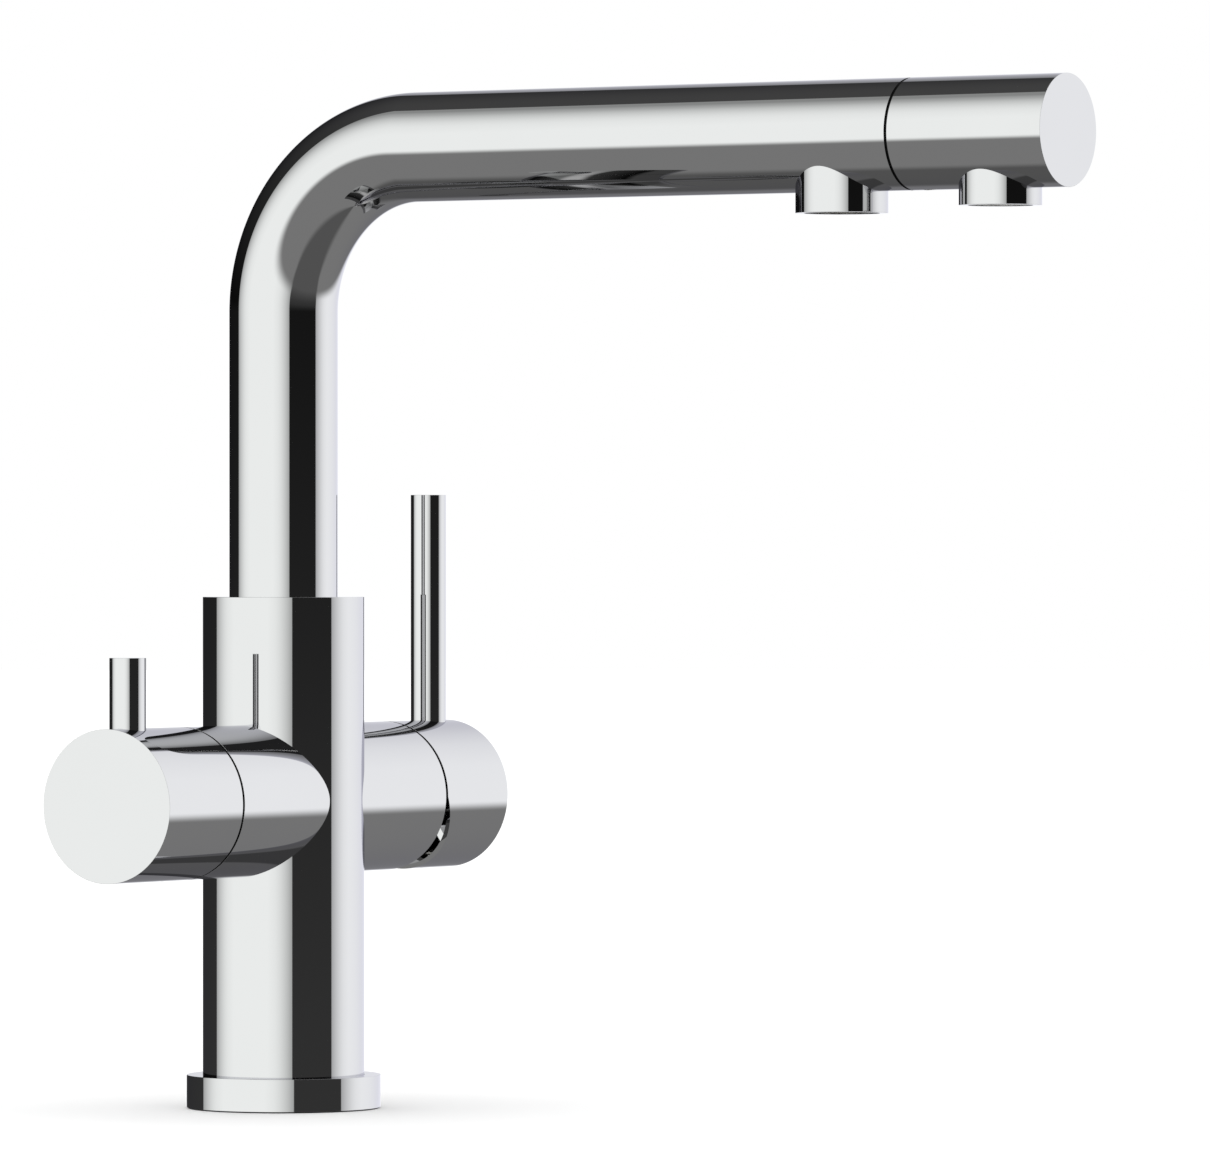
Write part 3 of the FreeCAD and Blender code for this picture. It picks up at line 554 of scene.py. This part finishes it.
tapColumn = stand("tapColumn", trunk.mesh("tapColumn"))
cutPiece(tapColumn, [branches], [hollow, *bores, rearHole], trunk.skins())
dress(tapColumn, "chrome", "body", "body_casting")


handles = {
    "radius": 21, "rimEdge": 0.05, "endEdge": 0.06, "seatDrop": 4, "seatRadius": 5.05, "threadRadius": 3.05,
    "threadLength": 6, "screwRadius": 2.5, "stemWidth": 7.1, "stemGrip": 9.05, "wedgeAngle": 21,
    "reach": 30, "wedgeDrop": 40, "wedgeHalf": 40, "sides": 720,
}
mixerTurn = {
    "side": 1, "cup": 19.8, "rim": 51.4, "hub": 61.0, "end": 82.2, "pinOffset": 73.0, "pinRise": 85.1,
    "floor": 78.35, "boss": 9.45, "pocket": 18.0, "pinPost": 6.5, "screwPost": 4.3,
}
filterTurn = {
    "side": -1, "cup": 18, "rim": 50.3, "hub": 58.0, "end": 85.0, "pinOffset": 75.0, "pinRise": 40.2,
}
pin = {"radius": 5, "edge": 0.08, "seatEdge": 0.1, "threadRadius": 3, "threadEdge": 0.2, "sides": 128}


def makeHandle(name, size, body, node, wedge):
    side, height = size["side"], arms["axisHeight"]
    seat = height + handles["radius"] - handles["seatDrop"]
    seatFloor = seat - handles["threadLength"]
    pinPlace, screwPlace = side * size["pinOffset"], side * (size["hub"] + handles["stemGrip"] / 2)
    half, mouth = handles["stemWidth"] / 2, side * (size["hub"] - over)
    square = [(mouth, y * half, height + z * half) for y, z in ((-1, -1), (1, -1), (1, 1), (-1, 1))]
    cuts = [
        drill(handles["seatRadius"], (pinPlace, 0, seat), (pinPlace, 0, height + handles["reach"])),
        drill(handles["threadRadius"], (pinPlace, 0, seatFloor), (pinPlace, 0, seat + over)),
        drill(handles["screwRadius"], (screwPlace, 0, height - handles["reach"]), (screwPlace, 0, height)),
        (square, (side * (handles["stemGrip"] + over), 0, 0)),
    ]
    pocket, posts = [], []
    if wedge:  # hollow around the grip on the stem, and a gap under the rim
        pocket = [
            (size["hub"], size["boss"]), (size["floor"], size["boss"]), (size["floor"], size["pocket"]),
            (size["hub"], size["pocket"]),
        ]
        wallMiddle = (size["pocket"] + size["cup"]) / 2
        posts = [
            drill(size["pinPost"], (pinPlace, 0, height), (pinPlace, 0, height + wallMiddle)),
            drill(size["screwPost"], (screwPlace, 0, height), (screwPlace, 0, height - wallMiddle)),
        ]
        rim, low = size["rim"], height - handles["wedgeDrop"]
        spread = handles["wedgeDrop"] * math.tan(math.radians(handles["wedgeAngle"]))
        gap = [(rim, height), (rim - over, height), (rim - over, low), (rim + spread, low)]
        outline = [(x, -handles["wedgeHalf"], z) for x, z in gap]
        cuts.append((outline, (0, 2 * handles["wedgeHalf"], 0)))
    cup = Turning([
        (size["hub"], 0), *pocket, (size["hub"], size["cup"]), (size["rim"], size["cup"], handles["rimEdge"]),
        (size["rim"], handles["radius"], handles["rimEdge"]),
        (size["end"], handles["radius"], handles["endEdge"]), (size["end"], 0),
    ], armBase, (side, 0, 0), handles["sides"])
    piece = stand(name, cup.mesh(name))
    cutPiece(piece, posts, cuts, cup.skins())
    dress(piece, "chrome", body, node)


def makePin(name, size, body, node):
    seat = handles["radius"] - handles["seatDrop"]
    low = seat - handles["threadLength"]
    turnPiece(name, [
        (low, 0), (low, pin["threadRadius"], pin["threadEdge"]),
        (seat, pin["threadRadius"]), (seat, pin["radius"], pin["seatEdge"]),
        (size["pinRise"], pin["radius"], pin["edge"]), (size["pinRise"], 0),
    ], (size["side"] * size["pinOffset"], 0, arms["axisHeight"]), upAxis, "chrome", body, node, pin["sides"])


makeHandle("mixerHandle", mixerTurn, "mixer_control", "mixer_handle", True)
makeHandle("filterHandle", filterTurn, "filter_control", "filter_handle", False)
makePin("mixerPin", mixerTurn, "mixer_control", "mixer_lever")
makePin("filterPin", filterTurn, "filter_control", "filter_lever")
glide = {"low": 49.4, "top": 50.22, "bore": 18, "radius": 20.5, "edge": 0.1}
turnPiece("filterGlide", [
    (glide["low"], glide["bore"]), (glide["low"], glide["radius"], glide["edge"]),
    (glide["top"], glide["radius"], glide["edge"]), (glide["top"], glide["bore"]),
], armBase, -rightAxis, "black_plastic", "body", "filter_glide_washer")


spout = {
    "radius": 15.1, "wall": 1.5, "low": 134.15, "axisHeight": 266.45, "bend": 45, "tubeEnd": 203.25,
    "sides": 256, "bendSteps": 96, "seamRadius": 14.8,
}


def newTree(name, sizes):
    # geometry tree with a geometry input and one named float for each size
    tree = bpy.data.node_groups.new(name, "GeometryNodeTree")
    tree.interface.new_socket("Geometry", in_out="INPUT", socket_type="NodeSocketGeometry")
    keys = {}
    for label in sizes:
        socket = tree.interface.new_socket(label, in_out="INPUT", socket_type="NodeSocketFloat")
        keys[label] = socket.identifier
    tree.interface.new_socket("Geometry", in_out="OUTPUT", socket_type="NodeSocketGeometry")
    bench = Bench(tree)
    return tree, bench, bench.put("NodeGroupInput"), keys


def closeTree(bench, shape, material):
    whole = bench.put("GeometryNodeRealizeInstances", None, {"Geometry": shape})
    painted = bench.put("GeometryNodeSetMaterial", None, {"Geometry": whole, "Material": material})
    bench.put("NodeGroupOutput", None, {"Geometry": painted})


def growPiece(piece, tree, keys, sizes):
    grow = piece.modifiers.new("grow", "NODES")
    grow.node_group = tree
    for label, value in sizes.items():
        grow[keys[label]] = float(value)


def point(bench, x, y, z):
    return bench.put("ShaderNodeCombineXYZ", None, {"X": x, "Y": y, "Z": z})


spoutSizes = {
    "Low": spout["low"] * mm, "Axis Height": spout["axisHeight"] * mm, "Reach": spout["tubeEnd"] * mm,
    "Bend Radius": spout["bend"] * mm, "Tube Radius": spout["radius"] * mm,
}
tree, bench, sizes, keys = newTree("bentSpout", spoutSizes)
index = bench.put("GeometryNodeInputIndex")
lift = sizes.at("Low") + (sizes.at("Axis Height") - sizes.at("Low")) * (index > 0.5)  # the last two points
forth = sizes.at("Reach") * (index > 1.5) * -1  # the last point
route = bench.put("GeometryNodePoints", None, {"Count": 3, "Position": point(bench, 0.0, forth, lift)})
line = bench.put("GeometryNodePointsToCurves", None, {"Points": route})
line = bench.put("GeometryNodeFilletCurve", {"mode": "POLY"}, {
    "Curve": line, "Count": spout["bendSteps"], "Radius": sizes.at("Bend Radius"),
})
ring = bench.put("GeometryNodeCurvePrimitiveCircle", None, {
    "Resolution": spout["sides"], "Radius": sizes.at("Tube Radius"),
})
tube = bench.put("GeometryNodeCurveToMesh", None, {"Curve": line, "Profile Curve": ring})
closeTree(bench, tube, finishes["chrome"])
spoutTube = stand("spoutTube", bpy.data.meshes.new("spoutTube"))
growPiece(spoutTube, tree, keys, spoutSizes)
bake(spoutTube)


def spoutSkin(radius, sign):
    top, bend = spout["axisHeight"] * mm, spout["bend"] * mm
    hub = np.array((0, -bend, top - bend))

    def measure(points):
        rel = points - hub
        upright, level = rel[:, 2] < 0, rel[:, 1] < 0
        axisPoint = np.zeros_like(points)
        away = np.maximum(np.hypot(rel[:, 1], rel[:, 2]), tiny)
        axisPoint[:, 1] = hub[1] + rel[:, 1] / away * bend
        axisPoint[:, 2] = hub[2] + rel[:, 2] / away * bend
        axisPoint[upright, 1] = 0
        axisPoint[upright, 2] = points[upright, 2]
        axisPoint[level, 1] = points[level, 1]
        axisPoint[level, 2] = top
        out = points - axisPoint
        length = np.maximum(np.linalg.norm(out, axis=1), tiny)
        return np.abs(length - radius * mm), sign * out / length[:, None]
    return measure


if sum(face.normal.x * face.center.x for face in spoutTube.data.polygons) < 0:
    spoutTube.data.flip_normals()  # the tube wall faces outwards
shell = spoutTube.modifiers.new("wall", "SOLIDIFY")
shell.thickness, shell.offset, shell.use_even_offset = spout["wall"] * mm, -1, True
bake(spoutTube)
outlets = {
    "mixed": {
        "node": "mixed_outlet", "place": 181.3, "radius": 12.5, "low": 245.7, "bore": 10.2, "passage": 8,
    },
    "filtered": {
        "node": "filtered_outlet", "place": 230.4, "radius": 11.1, "low": 246.9, "bore": 8.7, "passage": 5,
    },
}
outletCuts = {"passageLow": 240, "boreEdge": 0.05, "edge": 0.06, "sink": 0.03, "saddleReach": 30}


def passage(kind):
    size = outlets[kind]
    low, high = outletCuts["passageLow"], spout["axisHeight"]
    return drill(size["passage"], (0, -size["place"], low), (0, -size["place"], high))


tubeSkins = [
    spoutSkin(spout["radius"], 1), spoutSkin(spout["radius"] - spout["wall"], -1),
    flatSkin((0, 0, spout["low"]), (0, 0, -1)), flatSkin((0, -spout["tubeEnd"], 0), (0, -1, 0)),
]
cutPiece(spoutTube, [], [passage("mixed")], tubeSkins)
dress(spoutTube, "chrome", "spout", "spout_tube")

head = {
    "start": 204.05, "end": 251, "seamEdge": 0.1, "edge": 0.06, "socket": 8.05, "socketEnd": 213.8,
    "channel": 3, "channelStart": 213, "screwRadius": 2, "screwPlace": 209.25, "screwLow": 245,
    "screwDepth": 8,
}
spoutBase = (0, 0, spout["axisHeight"])


def onSpout(along, drop=0):
    return (0, -along, spout["axisHeight"] - drop)


turnPiece("seamRing", [
    (spout["tubeEnd"], head["socket"]), (spout["tubeEnd"], spout["seamRadius"]),
    (head["start"], spout["seamRadius"]), (head["start"], head["socket"]),
], spoutBase, frontAxis, "black_plastic", "spout", "head_seam_ring")
headShape = Turning([
    (head["start"], 0), (head["start"], spout["radius"], head["seamEdge"]),
    (head["end"], spout["radius"], head["edge"]), (head["end"], 0),
], spoutBase, frontAxis, spout["sides"])
screwMouth = (0, -head["screwPlace"], head["screwLow"])
headCuts = [
    drill(head["socket"], onSpout(head["start"] - over), onSpout(head["socketEnd"])),
    drill(head["channel"], onSpout(head["channelStart"]), onSpout(outlets["filtered"]["place"])),
    passage("filtered"),
    drill(head["screwRadius"], screwMouth, onSpout(head["screwPlace"], head["screwDepth"])),
]
spoutHead = stand("spoutHead", headShape.mesh("spoutHead"))
cutPiece(spoutHead, [], headCuts, headShape.skins())
dress(spoutHead, "chrome", "spout", "spout_head")
for kind, size in outlets.items():
    rise = spout["axisHeight"] - size["low"]
    boss = Turning([
        (0, size["bore"], outletCuts["boreEdge"]), (0, size["radius"], outletCuts["edge"]),
        (rise, size["radius"]), (rise, size["bore"]),
    ], (0, -size["place"], size["low"]), upAxis)
    ends = [onSpout(size["place"] + way * outletCuts["saddleReach"]) for way in (-1, 1)]
    saddle = drill(spout["radius"] - outletCuts["sink"], *ends, spout["sides"])
    piece = stand(kind + "Outlet", boss.mesh(kind + "Outlet"))
    cutPiece(piece, [], [saddle], boss.skins())
    dress(piece, "chrome", "spout", size["node"])
aerator = {
    "low": 246.5, "height": 3.55, "bore": 8.75, "boreEdge": 0.15, "radius": 10.15, "edge": 0.2, "sides": 128,
}
aeratorFoot = (0, -outlets["mixed"]["place"], aerator["low"])
turnPiece("aeratorCup", [
    (0, aerator["bore"], aerator["boreEdge"]), (0, aerator["radius"], aerator["edge"]),
    (aerator["height"], aerator["radius"]), (aerator["height"], aerator["bore"]),
], aeratorFoot, upAxis, "nickel", "spout", "aerator_cup", aerator["sides"])


plates = {
    "aeratorMesh": {
        "node": "aerator_mesh", "outlet": "mixed", "low": 247.1, "top": 250.05, "radius": 8.7,
        "pitch": 2.4, "hole": 0.95, "sides": 6,
    },
    "flowInsert": {
        "node": "filtered_flow_insert", "outlet": "filtered", "low": 247.7, "top": 250.05, "radius": 8.65,
        "pitch": 3.0, "hole": 1.05, "sides": 20,
    },
}
plateRules = {"rows": 13, "rimSides": 96, "weld": 0.000002}  # odd rows, and the weld in metres


def plateTree(sides):
    labels = ["Radius", "Pitch", "Hole", "Thickness", "Front", "Low"]
    tree, bench, sizes, keys = newTree("perforatedPlate", labels)
    rows = plateRules["rows"]
    step = sizes.at("Pitch") * (math.sqrt(3) / 2)
    grid = bench.put("GeometryNodeMeshGrid", None, {
        "Size X": sizes.at("Pitch") * (rows - 1), "Size Y": step * (rows - 1),
        "Vertices X": rows, "Vertices Y": rows,
    })
    spot = bench.put("ShaderNodeSeparateXYZ", None, {0: bench.put("GeometryNodeInputPosition")})
    row = bench.maths("ROUND", spot.at("Y") / step)
    shift = abs(bench.maths("MODULO", row, 2)) * sizes.at("Pitch") * 0.5  # every other row
    shift = point(bench, shift, 0.0, 0.0)
    grid = bench.put("GeometryNodeSetPosition", None, {"Geometry": grid, "Offset": shift})
    moved = bench.put("GeometryNodeInputPosition")
    spread = bench.put("ShaderNodeVectorMath", {"operation": "LENGTH"}, {0: moved}, "Value")
    grid = bench.put("GeometryNodeDeleteGeometry", None, {
        "Geometry": grid, "Selection": spread > sizes.at("Radius") - sizes.at("Hole"),
    })
    hole = bench.put("GeometryNodeCurvePrimitiveCircle", None, {
        "Resolution": sides, "Radius": sizes.at("Hole"),
    })
    holes = bench.put("GeometryNodeInstanceOnPoints", None, {"Points": grid, "Instance": hole})
    holes = bench.put("GeometryNodeRealizeInstances", None, {"Geometry": holes})
    rim = bench.put("GeometryNodeCurvePrimitiveCircle", None, {
        "Resolution": plateRules["rimSides"], "Radius": sizes.at("Radius"),
    })
    outline = bench.put("GeometryNodeJoinGeometry", None, {"Geometry": [rim, holes]})
    face = bench.put("GeometryNodeFillCurve", None, {"Curve": outline})
    raised = bench.put("GeometryNodeExtrudeMesh", None, {
        "Mesh": face, "Offset": point(bench, 0.0, 0.0, 1.0), "Offset Scale": sizes.at("Thickness"),
        "Individual": False,
    })
    under = bench.put("GeometryNodeFlipFaces", None, {"Mesh": face})
    body = bench.put("GeometryNodeJoinGeometry", None, {"Geometry": [raised, under]})
    body = bench.put("GeometryNodeMergeByDistance", None, {"Geometry": body, "Distance": plateRules["weld"]})
    place = point(bench, 0.0, sizes.at("Front") * -1, sizes.at("Low"))
    body = bench.put("GeometryNodeTransform", None, {"Geometry": body, "Translation": place})
    closeTree(bench, body, finishes["white_plastic"])
    return tree, keys


for name, size in plates.items():
    tree, keys = plateTree(size["sides"])
    piece = stand(name, bpy.data.meshes.new(name))
    growPiece(piece, tree, keys, {
        "Radius": size["radius"] * mm, "Pitch": size["pitch"] * mm, "Hole": size["hole"] * mm,
        "Thickness": (size["top"] - size["low"]) * mm, "Front": outlets[size["outlet"]]["place"] * mm,
        "Low": size["low"] * mm,
    })
    bake(piece)
    dress(piece, "white_plastic", "spout", size["node"])


shank = {
    "radius": 16.5, "core": 15.7, "bore": 14.5, "low": -58, "collarLow": 3.55, "collar": 19.7, "top": 13.05,
    "edge": 0.3, "boreEdge": 0.2, "sides": 128, "pitch": 1.5, "threadLow": -56.8, "threadTop": -1.5,
    "turnSteps": 64, "toothWidth": 0.55, "sharpAngle": 28,
}
shankShape = Turning([
    (shank["low"], shank["bore"], shank["boreEdge"]), (shank["low"], shank["core"], shank["edge"]),
    (shank["collarLow"], shank["core"]), (shank["collarLow"], shank["collar"], shank["edge"]),
    (shank["top"], shank["collar"], shank["edge"]), (shank["top"], shank["bore"], shank["boreEdge"]),
], (0, 0, 0), upAxis, shank["sides"])
threadedShank = stand("threadedShank", shankShape.mesh("threadedShank"))
threadSizes = {
    "Core": shank["core"] * mm, "Crest": shank["radius"] * mm, "Pitch": shank["pitch"] * mm,
    "Low": shank["threadLow"] * mm, "High": shank["threadTop"] * mm,
}
tree, bench, sizes, keys = newTree("shankThread", threadSizes)
rise = sizes.at("High") - sizes.at("Low")
coil = bench.put("GeometryNodeCurveSpiral", None, {
    "Resolution": shank["turnSteps"], "Rotations": rise / sizes.at("Pitch"), "Start Radius": sizes.at("Core"),
    "End Radius": sizes.at("Core"), "Height": rise,
})
coil = bench.put("GeometryNodeSetCurveNormal", {"mode": "Z_UP"}, {"Curve": coil})
depth = sizes.at("Crest") - sizes.at("Core")
tooth = bench.put("GeometryNodeCurvePrimitiveCircle", None, {"Resolution": 3, "Radius": 1.0})  # a triangle
stretch = point(bench, depth, sizes.at("Pitch") * shank["toothWidth"], 1.0)
tooth = bench.put("GeometryNodeTransform", None, {"Geometry": tooth, "Scale": stretch})
ridge = bench.put("GeometryNodeCurveToMesh", None, {"Curve": coil, "Profile Curve": tooth, "Fill Caps": True})
foot = point(bench, 0.0, 0.0, sizes.at("Low"))
ridge = bench.put("GeometryNodeTransform", None, {"Geometry": ridge, "Translation": foot})
whole = bench.put("GeometryNodeJoinGeometry", None, {"Geometry": [sizes.at("Geometry"), ridge]})
closeTree(bench, whole, finishes["brass"])
growPiece(threadedShank, tree, keys, threadSizes)
bake(threadedShank)
threadedShank.data.shade_smooth()
threadedShank.data.set_sharp_from_angle(angle=math.radians(shank["sharpAngle"]))
dress(threadedShank, "brass", "body", "mounting_shank")

fixings = {"bore": 16.58, "radius": 27, "rubberTop": -40, "washerTop": -43, "nutTop": -45.5, "sides": 128}


def makeDisc(name, low, top, boreEdge, edge, slot, node):
    turnPiece(name, [
        (low, fixings["bore"], boreEdge), (low, fixings["radius"], edge), (top, fixings["radius"], edge),
        (top, fixings["bore"], boreEdge),
    ], (0, 0, 0), upAxis, slot, "fixings", node, fixings["sides"])


makeDisc("fixingRubber", fixings["washerTop"], fixings["rubberTop"], boreEdge=0.3, edge=0.5, slot="rubber",
         node="fixing_rubber")
makeDisc("fixingWasher", fixings["nutTop"], fixings["washerTop"], boreEdge=0.2, edge=0.4, slot="steel",
         node="fixing_washer")
hexagon = {"inset": 0.3, "chamfer": 30, "clear": 0.02, "wide": 1, "before": 30, "beyond": 5, "sides": 128}


def makeNut(name, size, base, axis, slot, body, node, collar=None):
    # hexagon with its corners turned off, and a plain bore
    base, low, top = Vector(base), size["low"], size["top"]
    across, aside = crossAxes(axis)
    reach = size["flats"] / math.sqrt(3)
    outline = []
    for step in range(6):
        turn = math.radians(60 * step)
        outline.append(base + axis * low + (across * math.cos(turn) + aside * math.sin(turn)) * reach)
    way = axis * (top - low)
    inner, outer = size["flats"] / 2 - hexagon["inset"], reach + hexagon["clear"]
    slope = (reach - inner) * math.tan(math.radians(hexagon["chamfer"]))
    lowEdge = [(low, reach + hexagon["wide"])] if collar else [(low, inner), (low + slope, outer)]
    cone = Turning([
        (low, 0), *lowEdge, (top - slope, outer), (top, inner), (top, 0),
    ], base, axis, hexagon["sides"])
    piece = stand(name, prism(name, outline, way))
    carve(piece, cone.mesh("tool"), "INTERSECT")
    skins = prismSkins(outline, way) + cone.skins()
    ends = base + axis * (low - hexagon["before"]), base + axis * (top + hexagon["beyond"])
    bore = drill(size["bore"], *ends, hexagon["sides"])
    cutPiece(piece, [collar] if collar else [], [bore], skins)
    dress(piece, slot, body, node)


deckNut = {"flats": 42, "low": -54.5, "top": fixings["nutTop"], "bore": fixings["bore"]}
makeNut("fixingNut", deckNut, (0, 0, 0), upAxis, "brass", "fixings", "fixing_nut")
clampNut = {"flats": 28.4, "low": 50.0, "top": 54.4, "bore": 11.05, "threadRadius": 17.45, "threadEdge": 0.3}
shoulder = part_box("mixer_clamp_nut")[0].x / mm
nutThread = Turning([
    (shoulder, 0), (shoulder, clampNut["threadRadius"], clampNut["threadEdge"]),
    (clampNut["low"], clampNut["threadRadius"], clampNut["threadEdge"]), (clampNut["low"], 0),
], armBase, rightAxis, hexagon["sides"])
makeNut("mixerNut", clampNut, armBase, rightAxis, "nickel", "body", "mixer_clamp_nut", nutThread)
for name in ("threadedShank", "fixingRubber", "fixingWasher", "fixingNut"):
    bpy.data.objects[name].visible_glossy = False  # the worktop hides these from the chrome above it
print("pieces built")


for node in frame["nodes"].values():
    for holder in node.material_slots:
        slotName = holder.material.name.split(".")[0]
        holder.material = finishes[slotName]
print("inner parts dressed")


studio = {
    "left": {
        "bearing": 164.9, "half": 61.5, "squash": (1.0, 0.85), "foot": (-16.4, -7.6),
        "colour": (1.016, 1.036, 1.026),
    },
    "right": {
        "bearing": -16.0, "half": 57.3, "squash": (1.14, 1.1), "foot": (-14.9, -6.3),
        "colour": (0.988, 0.998, 1.018),
    },
    "edge": 0.6,  # over which a panel stops
    "groundEdge": 3.0, "blurBelow": -25, "blurRate": 0.5, "spreadEnd": 2.5,
    "falloff": [
        (0.5, 1.0), (0.77, 0.935), (0.95, 0.855), (1.17, 0.735), (1.46, 0.59), (1.7, 0.47), (2.4, 0.28),
    ],
    "flags": [
        (-90, 0.098), (-14, 0.098), (-9.5, 0.068), (-5.5, 0.043), (-3, 0.035), (-0.5, 0.018), (1, 0.010),
        (3, 0.004), (9, 0.010), (21, 0.022), (45, 0.046), (60, 0.062),
    ],
    "ground": (0.098, 0.213), "ceiling": (62, 80, 0.8), "power": 1.585, "diffuse": 1.2,
}
world = bpy.data.worlds.new("studio")
scene.world = world
world.use_nodes = True
bench = Bench(world.node_tree)
way = bench.put("ShaderNodeSeparateXYZ", None, {0: bench.put("ShaderNodeTexCoord", out="Generated")})
steep = bench.maths("ARCSINE", way.at("Z"))
height = steep * (180 / math.pi)
bearing = bench.maths("ARCTAN2", way.at("Y"), way.at("X")) * (180 / math.pi)


def ramp(value, low, high, stops):
    stops = [((place - low) / (high - low), float(level)) for place, level in stops]
    return bench.put("ShaderNodeValToRGB", {"stops": stops}, {0: (value - low) / (high - low)})


def ease(value, low, high):
    return bench.put("ShaderNodeMapRange", {"interpolation_type": "SMOOTHSTEP"}, {
        "Value": value, "From Min": low, "From Max": high,
    })


def grey(level):
    return (level, level, level)


light = ramp(height, -90, 90, studio["flags"])
for panel in (studio["left"], studio["right"]):
    off = bench.maths("WRAP", bearing - panel["bearing"], 180.0, -180.0)
    inside = panel["half"] - abs(off)
    turn = off * (math.pi / 180)
    across = bench.maths("TANGENT", turn) * panel["squash"][0]
    rise = bench.maths("TANGENT", steep) / bench.maths("COSINE", turn) * panel["squash"][1]
    spread = bench.maths("SQRT", across * across + rise * rise)  # how far from the middle of the panel
    fade = ramp(spread, 0, studio["spreadEnd"], studio["falloff"])
    tint = blendColours(bench, 1.0, fade, panel["colour"], "MULTIPLY")
    drop = bench.maths("MAXIMUM", studio["blurBelow"] - height, 0.0)
    soft = studio["groundEdge"] + drop * studio["blurRate"]  # the ground blurs further down
    dull, pale = studio["ground"]
    under = blendColours(bench, ease(inside, -studio["groundEdge"], soft), grey(dull), grey(pale))
    above, below = ease(inside, -studio["edge"], studio["edge"]), ease(inside, -studio["groundEdge"], 0.0)
    lifted = ease(height, *panel["foot"])
    wall = blendColours(bench, lifted, under, tint)
    light = blendColours(bench, lifted * above + (1 - lifted) * below, light, wall)
low, high, level = studio["ceiling"]
light = blendColours(bench, ease(height, low, high), light, grey(level))
light = blendColours(bench, 1.0, light, grey(studio["power"]), "MULTIPLY")
path = bench.put("ShaderNodeLightPath", out="Is Camera Ray")
seen = blendColours(bench, path.at("Is Glossy Ray"), grey(studio["diffuse"]), light)
seen = blendColours(bench, path, seen, grey(1.0))
backdrop = bench.put("ShaderNodeBackground", None, {"Color": seen, "Strength": 1.0})
bench.put("ShaderNodeOutputWorld", None, {"Surface": backdrop})
world.cycles.sampling_method = "NONE"  # the panels are broad, so no sampling map is needed

ground = {  # in metres, a hair under the gasket
    "radius": 9.0, "hole": 0.0175, "sides": 96, "level": -0.00003, "speckScale": 30,
    "dull": 0.968, "pale": 0.976,
}
verts, faces = [], []
for radius in (ground["hole"], ground["radius"]):
    for step in range(ground["sides"]):
        turn = 2 * math.pi * step / ground["sides"]
        verts.append((radius * math.cos(turn), radius * math.sin(turn), ground["level"]))
for step in range(ground["sides"]):
    after = (step + 1) % ground["sides"]
    faces.append((step, step + ground["sides"], after + ground["sides"], after))
floorMesh = bpy.data.meshes.new("worktop")
floorMesh.from_pydata(verts, [], faces)
floor = stand("worktop", floorMesh)


def paleTop(bench, spot):
    speck = cloud(bench, spot, ground["speckScale"])
    return {
        "Base Color": blendColours(bench, speck, grey(ground["dull"]), grey(ground["pale"])),
        "Roughness": 1.0,
        "Specular IOR Level": 0.0,
    }


floorMesh.materials.append(finish("paleTop", paleTop))
floor.visible_glossy = False

view = {  # place, near and far in metres
    "place": (-2.1850, -1.4946, 0.1577), "tip": 89.8, "turn": -57.564, "lens": 282.7, "sensor": 36,
    "near": 0.05, "far": 100,
}
camera = bpy.data.cameras.new("camera")
camera.sensor_fit, camera.sensor_width, camera.lens = "HORIZONTAL", view["sensor"], view["lens"]
camera.clip_start, camera.clip_end = view["near"], view["far"]
eye = bpy.data.objects.new("camera", camera)
eye.location = view["place"]
eye.rotation_euler = (math.radians(view["tip"]), 0, math.radians(view["turn"]))
scene.collection.objects.link(eye)
scene.camera = eye
scene.view_settings.view_transform = "Standard"
print("studio ready")
